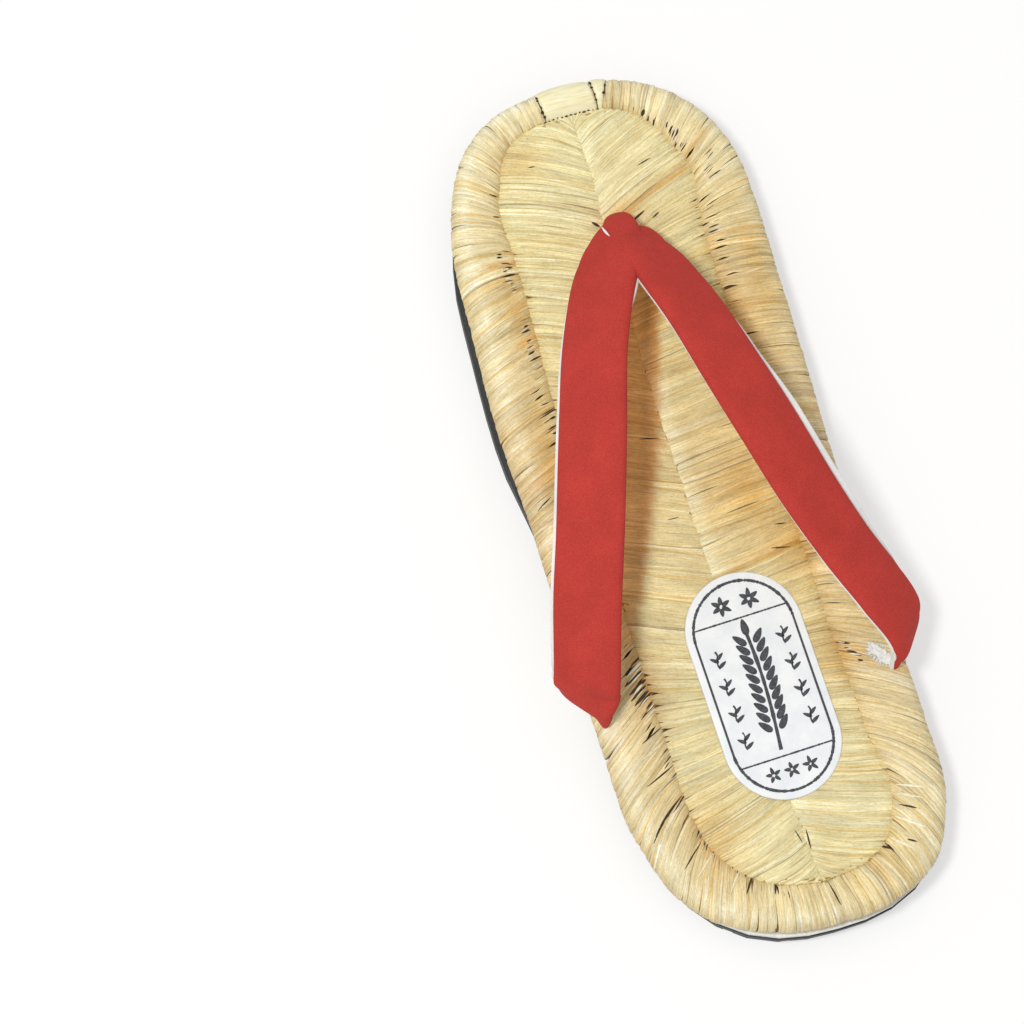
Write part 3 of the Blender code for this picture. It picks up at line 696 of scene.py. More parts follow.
def other_materials():
    """Rubber, sponge, paper, ink, binding, the gaps between straws, and the core under them."""
    rubber = (0.30, (0.012, 0.014, 0.015)), (0.60, BLACK_RUBBER), (0.78, (0.075, 0.085, 0.088))
    dust = (0.40, (0.9, 0.9, 0.9)), (0.70, (1.7, 1.65, 1.55))
    foam = (0.05, (0.55, 0.55, 0.53)), (0.35, (0.84, 0.85, 0.83))
    mottle = (0.35, (0.73, 0.76, 0.79)), (0.65, (0.82, 0.835, 0.85))
    ink = (0.35, INK), (0.75, (0.07, 0.075, 0.09))
    sheath = (0.25, srgb(222, 210, 152)), (0.55, srgb(241, 234, 196)), (0.8, srgb(247, 243, 220))
    # near-black: painted shade in the gaps between straws
    deep = (0.3, (0.018, 0.010, 0.006)), (0.7, (0.075, 0.045, 0.022))
    # core colours: painted shade deep in the gaps between straws
    core = (0.3, (0.05, 0.028, 0.012)), (0.6, CORE), (0.8, (0.30, 0.18, 0.07))
    return {
        "rubber": material(
            "tyre_rubber", 0.62, ((rubber, 1500.0, 3.0, 0.7), (dust, 60.0, 4.0, 0.6)), (0.4, 0.00015)
        ),
        "sponge": material("white_sponge", 0.9, ((foam,),), (0.5, 0.0003)),
        "paper": material("label_paper", 0.42, ((mottle, 160.0, 4.0, 0.6),), (0.15, 0.0001, 900.0)),
        "ink": material("label_ink", 0.5, ((ink, 1300.0),)),
        "sheath": material(
            "binding_sheath", 0.42, ((sheath, 1.0, 3.0, 0.6, (160.0, 1500.0, 900.0)),), (0.35, 0.0002)
        ),
        "gap": material("straw_gaps", 0.9, ((deep, 3.0),), None, True),
        "core": material("straw_core", 0.85, ((core, 420.0),)),
    }


def locks(side, mean, spread):
    """Runs and widths of neighbouring locks along one side, heel tip to toe tip."""
    total = TOTAL[side]
    found = []
    at = 0.0
    while at < total:
        width = mean * rng.uniform(1 - spread, 1 + spread)
        found.append((at + width / 2, width))
        at += width
    scale = total / at
    return [(centre * scale, width * scale) for centre, width in found]


# Straw hues: most of a draw between 0 and 1, tint to multiply by
HUES = ((0.12, (0.93, 0.82, 0.64)), (0.15, (0.72, 0.69, 0.70)), (0.87, (1, 1, 1)), (1.0, (1.05, 1.10, 1.26)))
# bedding strands: darker as painted shade under the top straws, seen through the slits
BED_TINT = 0.60 * np.array([1.0, 0.86, 0.68])

# Distance and part of a place over which a slope is taken
STEP = 0.4 * MM
PLACE_STEP = 0.01


def members(side, mean, spread, spacing):
    """Strands lock by lock as columns, and after them one wide bedding strand for each lock."""
    strands = []
    beds = []
    for centre, width in locks(side, mean, spread):
        loose = float(eased(LOOSE[side], centre / TOTAL[side]))
        shared = {
            "centre": centre, "pinch": rng.uniform(0.20, 0.50) * loose, "slit": rng.normal(0.0, 1.0),
            "turn": rng.normal(0, 0.6), "seed": rng.uniform(0, 6.28, 2),
        }
        lock_lift = rng.normal(0, 1.0)
        bright = rng.normal(1.0, 0.04)
        number = max(3, round(width / spacing))
        for member in range(number):
            across = (member + 0.5) / number * 2 - 1 + rng.normal(0, 0.05)
            kind = rng.uniform()
            hue = next(np.array(tone) for most, tone in HUES if kind <= most)
            tint = bright * rng.normal(1.0, 0.05) * hue
            wide = spacing * rng.uniform(1.6, 2.6)
            row = dict(shared, across=across * width / 2, width=wide, tint=tint, bed=0.0)
            row["lift"] = lock_lift * 0.07 + 0.24 * (1 - across ** 2) + rng.normal(0, 0.05)
            row["slit"] = shared["slit"] + rng.normal(0, 0.25)
            strands.append(row)
        held = shared["pinch"] if shared["pinch"] > 0.24 else 0.0
        bed = dict(shared, across=0.0, width=width * 1.3, lift=-0.34, pinch=held, tint=BED_TINT, bed=1.0)
        beds.append(bed)
    rows = strands + beds
    return {name: np.array([row[name] for row in rows])[:, None] for name in beds[0]}


def waves(rows, place, first, second):
    """Two waves along each strand. Each: size, how often the seed counts, how often the place does."""
    seeds = rows["seed"]
    pairs = enumerate((first, second))
    return sum(size * np.sin(seeds[..., at] * often + place * quick) for at, (size, often, quick) in pairs)


def rim_strands(mat):
    """The straws that wrap the edge roll, in locks that part a little where they dive into the groove."""
    place = np.concatenate([np.linspace(0, 0.64, 9), np.linspace(0.69, 1.0, 11)])
    for side in (1, -1):
        rows = members(side, 1.9 * MM, 0.35, 0.34 * MM)
        pinched = rows["pinch"] * np.exp(-((place - 0.825 - 0.028 * rows["slit"]) / 0.06) ** 2)
        wobble = waves(rows, place, (0.30 * MM, 1, 4), (0.10 * MM, 1, 11))
        run_at = rows["centre"] + rows["across"] * (1 - pinched) + wobble
        _, edge_y = edge_at(side, rows["centre"])
        slant = (eased(SLANTS[side], edge_y / HALF_LENGTH) + 0.05 * rows["turn"]) * rim_at(edge_y)
        run = run_at + slant * (roll_step(place) - 0.45)
        at = np.broadcast_to(place, run.shape)
        spine = roll_point(side, run, at)
        ahead = roll_point(side, run + STEP, at)
        further = roll_point(side, run, np.minimum(at + PLACE_STEP, 1.0))
        onward = further - roll_point(side, run, np.maximum(at - PLACE_STEP, 0.0))
        normal = unit(np.cross(ahead - spine, onward)) * side
        lift_share = np.sin(math.pi * np.clip(place, 0.05, 0.98)) ** 0.5
        spine = spine + normal * ((rows["lift"] * lift_share + 0.10) * MM)[..., None]
        crowd = np.clip(np.linalg.norm(ahead - spine, axis=-1) / STEP, 0.45, 1.1)
        widths = rows["width"] * crowd * (1 - 0.5 * pinched) * (1 - rows["bed"] * 2.2 * pinched)
        hue = 1 + RIM_CONTRAST * (rows["tint"] - 1)
        tone = straw_tone(spine) * hue * stain_and_shade_tint("roll", side, run_at, at)
        tone = tone * (1 + waves(rows, place, (0.06, 3, 5), (0.05, 7, 17)))[..., None]
        # painted highlight along the roll's outer shoulder: full on the left side, towards the lamp, weaker
        # on the right
        outer = np.exp(-((place - 0.45) / 0.075) ** 2) * (1.0 if side < 0 else 0.35)
        tone = tinted(tone, outer, (1.12, 1.20, 1.44))
        # painted shade: darker on the roll's lower side, and darker and browner where the straws dive into
        # the groove
        tone = tinted(tone, 1 - ramp(0.20, 0.40, place), (0.93, 0.91, 0.88))
        tone = tinted(tone, ramp(0.80, 1.0, place), (0.95, 0.89, 0.82))
        # painted highlight on the straws at the edges of each parted slit
        rim = np.abs(rows["across"]) / (1.1 * MM) * pinched * (1 - rows["bed"])
        tone = np.clip(tone * (1 + 0.55 * rim[..., None]), 0, 0.95)
        arch = np.broadcast_to(0.10 * MM * (1 + rows["bed"]), run.shape)
        ribbons(f"rim_straw_{NAMES[side]}", spine, normal, widths, arch, tone, mat)


def lane_strands(mat):
    """The straws of both lanes, from the groove to the centre line."""
    place = np.linspace(-0.06, 1.05, 15)
    for side in (1, -1):
        total = TOTAL[side]
        rows = members(side, 2.8 * MM, 0.4, 0.38 * MM)
        pinched = rows["pinch"] * (1 - ramp(0.02, 0.14, place))
        wobble = waves(rows, place, (0.35 * MM, 1, 3), (0.12 * MM, 1, 9))
        run = rows["centre"] + rows["across"] * (1 - 0.8 * pinched) + wobble
        run = np.clip(run, 0.2 * MM, total - 0.2 * MM)
        at = place + 0.012 * rows["slit"]
        spine = lane_point(side, run, at)
        fore = lane_point(side, np.clip(run + STEP, 0, total), at)
        back = lane_point(side, np.clip(run - STEP, 0, total), at)
        onward = lane_point(side, run, at + PLACE_STEP) - lane_point(side, run, at - PLACE_STEP)
        normal = unit(np.cross(fore - back, onward)) * side
        normal = unit(normal + (0, 0, 0.6))
        ends = np.minimum(ramp(-0.06, 0.1, place), 1 - 0.8 * ramp(0.9, 1.05, place))
        spine = spine + normal * ((0.7 * rows["lift"] * ends + 0.10) * MM)[..., None]
        crowd = np.clip(np.linalg.norm(fore - back, axis=-1) / (2 * STEP) * 1.15, 0.35, 1.2)
        widths = rows["width"] * crowd * (1 - 0.5 * pinched) * (1 - rows["bed"] * 1.2 * pinched)
        hue = 1 + LANE_CONTRAST * (rows["tint"] - 1)
        tone = straw_tone(spine) * hue * stain_and_shade_tint("lane", side, run, at)
        tone = tone * (1 + waves(rows, place, (0.06, 3, 4), (0.04, 7, 13)))[..., None]
        # painted shade where the lane's straws start under the roll's edge
        tone = tinted(tone, 1 - ramp(-0.06, 0.08, place), (0.92, 0.85, 0.78))
        # painted highlight on the right lane's ridge by the centre line; on the left lane it is barely there
        lit = np.interp(run[:, :1] / total, (0.40, 0.44, 0.60, 0.66), (0.4, 1, 1, 0.4))
        lit = ramp(0.82, 0.94, place) * lit
        tone = tinted(tone, lit, (1.10, 1.19, 1.42) if side > 0 else (1.01, 1.02, 1.04)) * (1.0, 1.05, 1.03)
        arch = np.broadcast_to(0.09 * MM * (1 + rows["bed"]), run.shape)
        tone = np.clip(tone, 0, 0.95)
        ribbons(f"lane_straw_{NAMES[side]}", spine, normal, widths, arch, tone, mat)


def straw_core(node, mat):
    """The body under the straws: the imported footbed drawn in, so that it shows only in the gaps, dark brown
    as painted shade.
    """
    bm = welded(node)
    bm.normal_update()
    for vertex, normal in zip(bm.verts, [vertex.normal.copy() for vertex in bm.verts]):
        if normal.z > -0.5:
            vertex.co -= normal * 1.3 * MM
    obj = solid("straw_core", bm, mat, False)
    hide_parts("straw_body")


def curve_rows(table, count):
    """Rows read from a smooth curve through the table's rows."""
    table = np.array(table)
    last = len(table) - 1
    place = last * np.arange(count + 1) / count
    index = np.minimum(place.astype(int), last - 1)
    before = table[np.maximum(index - 1, 0)]
    after = table[np.minimum(index + 2, last)]
    return curve(before, table[index], table[index + 1], after, (place - index)[:, None])


def frames(rows, facing):
    """Centres, sides and normals of a band's sections."""
    centres = rows[:, (1, 0, 2)] * (HALF_WIDTH, HALF_LENGTH, CREST_HEIGHT)
    tangent = unit(np.gradient(centres, axis=0))
    side = unit(np.cross(tangent, facing))
    return centres, side, np.cross(side, tangent)


def leg_frames(table, outward, count):
    rows = curve_rows(table, count)
    for _ in range(60):
        rows[1:-1, 2:] = (rows[:-2, 2:] + 2 * rows[1:-1, 2:] + rows[2:, 2:]) / 4
    turn = rows[:, 4] * math.pi / 2
    facing = np.stack([outward * np.sin(turn), 0 * turn, np.cos(turn)], -1)
    centres, side, normal = frames(rows, facing)
    return centres, side, normal, rows[:, 3]


def grid_faces(rows, columns, closed=False):
    """Faces of a mesh made row by row; closed joins each row's last point to its first."""
    corner = np.arange(rows * columns).reshape(rows, columns)
    if closed:
        corner = np.hstack([corner, corner[:, :1]])
    ring = (corner[:-1, :-1], corner[:-1, 1:], corner[1:, 1:], corner[1:, :-1])
    return np.stack(ring, -1).reshape(-1, 4).tolist()


def tube(points, name):
    """Closed mesh from sections of equal length: (station, around, 3), with flat ends."""
    stations, around, _ = points.shape
    faces = grid_faces(stations, around, True)
    faces.append(list(range(around))[::-1])
    faces.append(list(range((stations - 1) * around, stations * around)))
    return new_mesh(name, points.reshape(-1, 3), faces)


def solid(name, bm, mat, smooth=True):
    """An object on the sandal from a bmesh."""
    mesh = bpy.data.meshes.new(name)
    bm.to_mesh(mesh)
    bm.free()
    if smooth:
        mesh.polygons.foreach_set("use_smooth", [True] * len(mesh.polygons))
    mesh.materials.append(mat)
    obj = link(name, mesh)
    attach(obj, "root")
    return obj


def joined(name, meshes, mat):
    bm = bmesh.new()
    for mesh in meshes:
        bm.from_mesh(mesh)
    bmesh.ops.recalc_face_normals(bm, faces=bm.faces)
    return solid(name, bm, mat)


# Share of the strap's length, and how far the lining shows past the cloth's outer and inner edge, in mm
LEFT_SHOWS = (
    (0.0, -1.5, -1.5), (0.08, -1.2, -0.5), (0.12, -0.5, -0.1), (0.16, 0.4, 0.1), (0.21, 0.9, 0.1),
    (0.26, 1.1, -0.9), (0.30, 1.3, -1.1), (0.45, 1.3, -1.1), (0.65, 1.4, -1.1), (0.80, 1.0, -1.0),
    (0.88, 0.1, -0.9), (0.95, -1.2, -0.9), (1.0, -1.2, -0.9),
)
RIGHT_SHOWS = (
    (0.0, -1.5, -1.2), (0.08, -1.2, 0.2), (0.16, -0.6, 0.1), (0.22, 0.0, -0.5), (0.28, 0.9, -0.6),
    (0.36, 1.8, -0.7), (0.46, 3.0, -0.8), (0.58, 3.2, -0.6), (0.66, 2.2, -0.4), (0.75, -0.2, -0.3),
    (0.86, -0.9, -0.1), (0.93, -0.9, 0.8), (1.0, -0.9, 1.0),
)
STRAP_STATIONS = 200


def banded(centres, side, normal, across, heights):
    """Points of a band's sections, by how far to the side and how high they lie."""
    return centres[:, None] + side[:, None] * across[..., None] + normal[:, None] * heights[..., None]


def strap_section(centres, side, normal, wide, sign, shows, low, high, padded):
    """Closed sections of one strap's cloth, or of its lining where padded is false."""
    share = np.linspace(0, 1, len(wide))
    reach_out = reach_in = wide * STRAP_WIDTH / 2
    angle = np.linspace(0, 2 * math.pi, 40, endpoint=False)
    up = np.sin(angle)
    if padded:
        across = squared(np.cos(angle), 0.5)
        rise = np.where(up > 0, 0.14 + 0.86 * np.abs(up) ** 0.75, 0.14 * (1 - np.abs(up) ** 0.5))
    else:
        reach_out = reach_out + MM * eased([row[:2] for row in shows], share)
        reach_in = reach_in + MM * eased([row[::2] for row in shows], share)
        across = squared(np.cos(angle), 0.35)
        rise = 0.5 + 0.5 * squared(up, 0.4)
    reach = np.where(across * sign > 0, reach_out[:, None], reach_in[:, None])
    pressed = 1 - 0.6 * ramp(0.82, 0.95, share) * padded
    return banded(centres, side, normal, across * reach, low + (high - low) * rise * pressed[:, None])


STRAP_TABLES = (("left", LEFT_LEG, -1, LEFT_SHOWS), ("right", RIGHT_LEG, 1, RIGHT_SHOWS))

# Soft folds across the strap: share of its length, depth in mm, length as a share
FOLDS = (
    (0.10, 0.35, 0.012), (0.155, 0.25, 0.010), (0.70, 0.2, 0.012), (0.80, 0.4, 0.010), (0.86, 0.45, 0.009),
)


def straps(red, white):
    cloth = []
    for name, table, outward, shows in STRAP_TABLES:
        centres, side, normal, wide = leg_frames(table, outward, STRAP_STATIONS)
        count = STRAP_STATIONS + 1
        share = np.linspace(0, 1, count)
        form = (centres, side, normal, wide, outward * np.sign(side[count // 3, 0]), shows)
        section = strap_section(*form, -0.1 * MM, STRAP_THICK, True)
        fold = sum(deep * MM * np.exp(-((share - at) / long) ** 2) for at, deep, long in FOLDS)
        section = section - normal[:, None, :] * fold[:, None, None] * 0.6
        cloth.append(tube(section, f"strap_{name}"))
        lining = strap_section(*form, -LINING_THICK, 0.3 * MM, False)[int(count * 0.13):]
        piece = joined(f"lining_{name}", [tube(lining, f"lining_{name}")], white)
        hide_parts(f"strap_lining_{name}")
    piece = joined("strap_cloth", cloth, red)
    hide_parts("straps")
    rows = curve_rows(THONG, 40)
    centres, side, normal = frames(rows, np.tile((0.0, 1.0, 0.0), (len(rows), 1)))
    angle = np.linspace(0, 2 * math.pi, 32, endpoint=False)
    across = squared(np.cos(angle), 0.8) * rows[:, 3:4] * THONG_WIDTH / 2
    heights = squared(np.sin(angle), 0.8) * THONG_THICK / 2
    section = banded(centres, side, normal, across, heights[None])
    piece = joined("thong_cloth", [tube(section, "thong_cloth")], red)
    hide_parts("front_thong")


def label_place(across, along, raised):
    """A place on the label, from its own middle, in metres."""
    x = LABEL_ACROSS * HALF_WIDTH + across * math.cos(LABEL_TURN) - along * math.sin(LABEL_TURN)
    y = LABEL_ALONG * HALF_LENGTH + across * math.sin(LABEL_TURN) + along * math.cos(LABEL_TURN)
    crown = STRAW_THICK * 0.86
    sag = 0.25 * MM * math.cos(math.pi * across / LABEL_WIDTH) ** 2 if abs(across) < LABEL_WIDTH / 2 else 0.0
    return (x, y, float(straw_floor(np.float64(y))) + crown + GAP + raised + 0.1 * MM - sag * 0.5)


def oval(inset, count=160):
    """Points of the label's outline drawn in by inset."""
    straight = (LABEL_LENGTH - LABEL_WIDTH) / 2
    radius = LABEL_WIDTH / 2 - inset
    angles = [2 * math.pi * (index + 0.5) / count for index in range(count)]
    ring = [(math.cos(angle), math.sin(angle)) for angle in angles]
    return [(radius * x, radius * y + math.copysign(straight, y)) for x, y in ring]


# The label's rings: how far in from its outline and how high
RINGS = [(0.6 * MM, -0.25 * MM), (0.0, -0.1 * MM), (0.15 * MM, LABEL_THICK * 0.9)]
RINGS += [(inset * MM, LABEL_THICK) for inset in (0.5, 4, 9, 14, 17.6)]
PRINT_HEIGHT = LABEL_THICK + 0.07 * MM


def stroke(path, width, closed=False):
    """A flat printed line along a path of label places."""
    path = np.array(path)
    ahead = np.roll(path, -1, 0) if closed else np.vstack([path[1:], 2 * path[-1:] - path[-2:-1]])
    behind = np.roll(path, 1, 0) if closed else np.vstack([2 * path[:1] - path[1:2], path[:-1]])
    way = unit(ahead - behind)
    off = np.stack([-way[:, 1], way[:, 0]], -1) * width / 2 * (1 + rng.normal(0, 0.16, len(path)))[:, None]
    points = [label_place(*point, PRINT_HEIGHT) for point in np.vstack([path + off, path - off])]
    return new_mesh("stroke", points, grid_faces(2, len(path), closed))


def blob(middle, long, wide, turn):
    """A filled grain shape."""
    points = []
    for index in range(14):
        angle = 2 * math.pi * index / 14
        a = long / 2 * math.cos(angle)
        b = wide / 2 * math.sin(angle) * (1 - 0.35 * math.cos(angle))
        x = middle[0] + a * math.cos(turn) - b * math.sin(turn)
        y = middle[1] + a * math.sin(turn) + b * math.cos(turn)
        points.append(label_place(x, y, PRINT_HEIGHT))
    return new_mesh("blob", points, [tuple(range(14))])


def spray(middle, size, count):
    """Grains set round a middle."""
    found = []
    for index in range(count):
        turn = 2 * math.pi * index / count + 0.4
        at = (middle[0] + size * 0.55 * math.cos(turn), middle[1] + size * 0.55 * math.sin(turn))
        found.append(blob(at, size * rng.uniform(0.75, 0.95), size * 0.42, turn))
    return found


def label(paper, ink):
    points = [label_place(*point, raised) for inset, raised in RINGS for point in oval(inset)]
    count = len(points) // len(RINGS)
    faces = grid_faces(len(RINGS), count, True) + [list(range(len(points) - count, len(points)))]
    piece = joined("label_paper", [new_mesh("label_paper", points, faces)], paper)
    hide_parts("label")
    strokes = [stroke(oval(2.6 * MM, 260), 0.85 * MM, True)]
    reach = 14.6 * MM
    for along in (21.5 * MM, -22.0 * MM):
        strokes.append(stroke([(-reach + 2 * reach * i / 80, along) for i in range(81)], 0.50 * MM))
    # an ear of rice with its leaves, sprigs beside it, and sprays above and below
    stem = [((1.8 * math.sin(i / 24 * 2.2) - 1.2) * MM, (-20 + 36 * i / 24) * MM) for i in range(25)]
    strokes.append(stroke(stem, 1.1 * MM))
    for index in range(10):
        base = stem[min(4 + int(index * 2.1), 24)]
        for hand in (-1, 1):
            middle = (base[0] + hand * 2.9 * MM, base[1] + 1.9 * MM)
            strokes.append(blob(middle, 5.0 * MM, 2.1 * MM, math.pi / 2 - hand * 0.72))
    strokes.append(blob((stem[-1][0], stem[-1][1] + 2.4 * MM), 5.2 * MM, 2.3 * MM, math.pi / 2))
    for hand in (-1, 1):
        for along in (-13.5, -5.0, 3.5, 12.0):
            x, y = hand * 10.6 * MM, (along + 0.8 * hand) * MM
            stalk = [(x + 0.4 * MM * math.sin(t), y + t * 0.9 * MM) for t in range(-3, 4)]
            strokes.append(stroke(stalk, 0.55 * MM))
            for turn, rise in ((0.6, 1.0), (2.5, 0.2), (0.5, -1.6)):
                strokes.append(blob((x + 1.2 * MM * math.cos(turn), y + rise * MM), 3.0 * MM, 1.1 * MM, turn))
    for across in (-4.4, 4.4):
        strokes += spray((across * MM, 26.3 * MM), 3.3 * MM, 6)
    for across in (-5.8, 0, 5.8):
        strokes += spray((across * MM, -26.6 * MM), 2.6 * MM, 5)
    piece = joined("label_print", strokes, ink)


def squared(values, power):
    """A sine or cosine drawn towards a squarer section."""
    return np.sign(values) * np.abs(values) ** power


def placed_ribbons(name, paths, mat, raised):
    """Narrow tapered ribbons along short paths of (point, normal); paths: (path, width in mm, tone)."""
    spines = np.array([[point + normal * raised * MM for point, normal in path] for path, _, _ in paths])
    normals = np.array([[normal for _, normal in path] for path, _, _ in paths])
    taper = np.sin(np.linspace(0.15, math.pi - 0.15, spines.shape[1])) ** 0.9
    widths = np.array([taper * wide * MM for _, wide, _ in paths])
    tones = np.array([np.tile(tone, (spines.shape[1], 1)) for _, _, tone in paths])
    ribbons(name, spines, normals, widths, np.full(spines.shape[:2], 0.08 * MM), tones, mat)


def surface_at(kind, side, share, place):
    """Point and normal of the roll or a lane at a share of the side."""
    form = roll_point if kind == "roll" else lane_point
    run = np.array([share * TOTAL[side]])
    at = np.array([place])
    ahead = form(side, run + STEP, at)[0] - form(side, run - STEP, at)[0]
    further = form(side, run, np.minimum(at + PLACE_STEP, 1.0))[0]
    normal = unit(np.cross(ahead, further - form(side, run, at - PLACE_STEP)[0])) * side
    return form(side, run, at)[0], normal if kind == "roll" or normal[2] > 0 else -normal


# painted shade in the gaps, and the painted highlight of the straws beside them
GAP_SHADE = (0.04, 0.025, 0.015)
PAINTED_HIGHLIGHT_TONE = (0.82, 0.77, 0.60)


def placed_gaps(straw, dark):
    """Painted shade in the gaps and painted highlights on the straws that stand out one by one."""
    found = {"dark": [], "pale": []}
    for kind, side, share, place, to_share, to_place, wide, tone in GAPS:
        way = zip(np.linspace(share, to_share, 12), np.linspace(place, to_place, 12))
        path = [surface_at(kind, side, *at) for at in way]
        # dark gaps get painted shade; pale straws get their straw tone raised as a painted highlight
        shade = GAP_SHADE if tone == "dark" else straw_tone(path[6][0]) * (1.10, 1.20, 1.50)
        found[tone].append((path, wide, np.clip(shade, 0, 0.93)))
    for side, share, place, to_share, to_place, count, long, wide in CLUSTERS:
        total = TOTAL[side]
        for index in range(2 * count):
            t = index / (2 * count - 1)
            tone, shade, slim = ("pale", PAINTED_HIGHLIGHT_TONE, 0.7) if index % 2 else ("dark", GAP_SHADE, 1.0)
            middle = place + (to_place - place) * t + rng.normal(0, 0.025)
            at = share + (to_share - share) * t + rng.normal(0, 0.0012)
            half = long * rng.uniform(0.3, 0.9)
            turned = rng.normal(0, 0.004)
            _, edge_y = edge_at(side, at * total)
            slant = float(eased(SLANTS[side], edge_y / HALF_LENGTH)) * float(rim_at(edge_y)) / total
            path = []
            for step in np.linspace(max(middle - half, 0.3), min(middle + half, 1.0), 12):
                moved = at + (slant + turned) * (roll_step(step) - roll_step(middle))
                path.append(surface_at("roll", side, moved, step))
            found[tone].append((path, wide * rng.uniform(0.45, 1.30) * slim, shade))
    placed_ribbons("straw_splits", found["dark"], dark, 0.42)
    placed_ribbons("painted_highlight_straws", found["pale"], straw, 0.50)


def over_toe(x, place):
    """Point of the toe's roll at a place across the tip, and the roll's normal there."""
    tip = float(lean(np.float64(HALF_LENGTH)))
    side = 1 if x >= tip else -1
    total = TOTAL[side]
    return surface_at("roll", side, (total - abs(x - tip)) / total, place)


def wrap_edge(number, place):
    """Where the binding's edges run: left edge, split between its pieces, right edge."""
    slopes = (0.0, 4.5 * MM, -3.5 * MM)
    return WRAP_EDGES[number] + slopes[number] * (place - 0.4)


def toe_wrap(mat, dark):
    """Binding sheath over the toe's roll, in a wide piece and a narrow one, with painted shade in the gaps
    round them.
    """
    pieces = []
    for number, columns, raised in ((0, 25, 0.80), (1, 9, 0.60)):
        places = np.linspace(0.16, 0.97, 26)
        points = []
        for place in places:
            low = wrap_edge(number, place) + 0.2 * MM
            high = max(wrap_edge(number + 1, place) - 0.2 * MM, low + 0.3 * MM)
            for share in np.linspace(0, 1, columns):
                point, normal = over_toe(low + (high - low) * share, place)
                points.append(point + normal * (0.10 + raised * math.sin(math.pi * share) ** 0.4) * MM)
        pieces.append(new_mesh("toe_binding", points, grid_faces(len(places), columns)))
    obj = joined("toe_binding", pieces, mat)
    shell = obj.modifiers.new("thickness", "SOLIDIFY")
    shell.thickness = 0.5 * MM
    shell.offset = 0
    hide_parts("toe_wrap")
    paths = []
    # dark brown ribbons along the pieces' edges and in dashes: painted shade in the gaps at the sheath's
    # edges
    brown = (0.05, 0.03, 0.02)
    for number, low, high, count in ((0, 0.42, 0.93, 6), (1, 0.38, 0.93, 5), (2, 0.42, 0.72, 2)):
        whole = [over_toe(wrap_edge(number, t), t) for t in np.linspace(low, high, 12)]
        paths.append((whole, 0.30, brown))
        for index in range(count):
            middle = low + (high - low) * (index + 0.5 + rng.uniform(-0.25, 0.25)) / count
            long = rng.uniform(0.016, 0.034)
            stray = rng.normal(0, 0.12) * MM
            steps = np.linspace(middle - long, middle + long, 12)
            dash = [over_toe(wrap_edge(number, t) + stray, t) for t in steps]
            paths.append((dash, rng.uniform(0.6, 1.1), brown))
    placed_ribbons("binding_gaps", paths, dark, 0.92)
    # short dark dashes at the sheath's foot: painted shade where it dives into the groove
    paths = []
    for index in range(11):
        x = WRAP_EDGES[0] + (1.2 + 1.65 * index) * MM
        long = rng.uniform(0.3, 0.8) * MM
        at = 0.868 + rng.normal(0, 0.006)
        dash = [over_toe(x + t, at) for t in np.linspace(-long, long, 12)]
        paths.append((dash, rng.uniform(0.35, 0.75), brown))
    placed_ribbons("binding_foot_gaps", paths, dark, 1.35)


def frayed_lining(mat):
    """The lumpy end of the right strap's lining and its loose fibres."""
    middle, normal = surface_at("roll", 1, 0.309, 0.57)
    middle = middle + normal * 0.7 * MM
    second = unit(np.array([0.58, -0.81, 0.0]) - normal * (0.58 * normal[0] - 0.81 * normal[1]))
    first = np.cross(second, normal)
    bm = bmesh.new()
    bmesh.ops.create_icosphere(bm, subdivisions=5, radius=1.0)
    for vertex in bm.verts:
        lump = 1 + 0.75 * noise_of(vertex.co * 1.7) + 0.34 * noise_of(vertex.co * 5.0)
        place = vertex.co * lump
        moved = first * place.x * 1.5 * MM + second * place.y * 3.6 * MM + normal * place.z * 0.8 * MM
        vertex.co = Vector(middle + moved)
    bmesh.ops.recalc_face_normals(bm, faces=bm.faces)
    piece = solid("frayed_lump", bm, mat)
    paths = []
    for _ in range(150):
        turn = rng.uniform(0, 2 * math.pi)
        out = first * math.cos(turn) * 1.3 + second * math.sin(turn) * 3.2
        away = unit(out) * rng.uniform(0.6, 2.4)
        curl = np.cross(normal, unit(out)) * rng.normal(0, 0.8)
        rise = rng.uniform(0.0, 0.7)
        path = []
        for t in np.linspace(0, 1, 12):
            point = middle + (out * 0.85 + away * t + curl * t * t + normal * (rise * t - 0.6 * t * t)) * MM
            path.append((point, normal))
        paths.append((path, rng.uniform(0.12, 0.26), (0.8, 0.8, 0.8)))
    placed_ribbons("frayed_fibres", paths, mat, 0.1)


def knob_thread(mat, right, up, aim):
    """A loose white thread where the left strap meets the thong, laid on the cloth as the camera sees it."""
    bpy.context.view_layer.update()
    scene = bpy.context.scene
    graph = bpy.context.evaluated_depsgraph_get()
    eye = scene.camera.matrix_world.translation
    focal = scene.camera.data.lens * IMAGE / SENSOR
    spine = []
    for t in np.linspace(0, 1, 12):
        u = 601.0 + 8.5 * t
        v = 226.0 + 10.0 * t + 0.8 * math.sin(3 * t)
        ray = right * ((u - IMAGE / 2) / focal) - up * ((v - IMAGE / 2) / focal) - aim
        found, place, *_ = scene.ray_cast(graph, eye, ray.normalized())
        if found:
            spine.append((np.array(place), np.array(aim)))
    if len(spine) > 1:
        placed_ribbons("knob_thread", [(spine, 0.70, (0.8, 0.8, 0.8))], mat, 0.45)


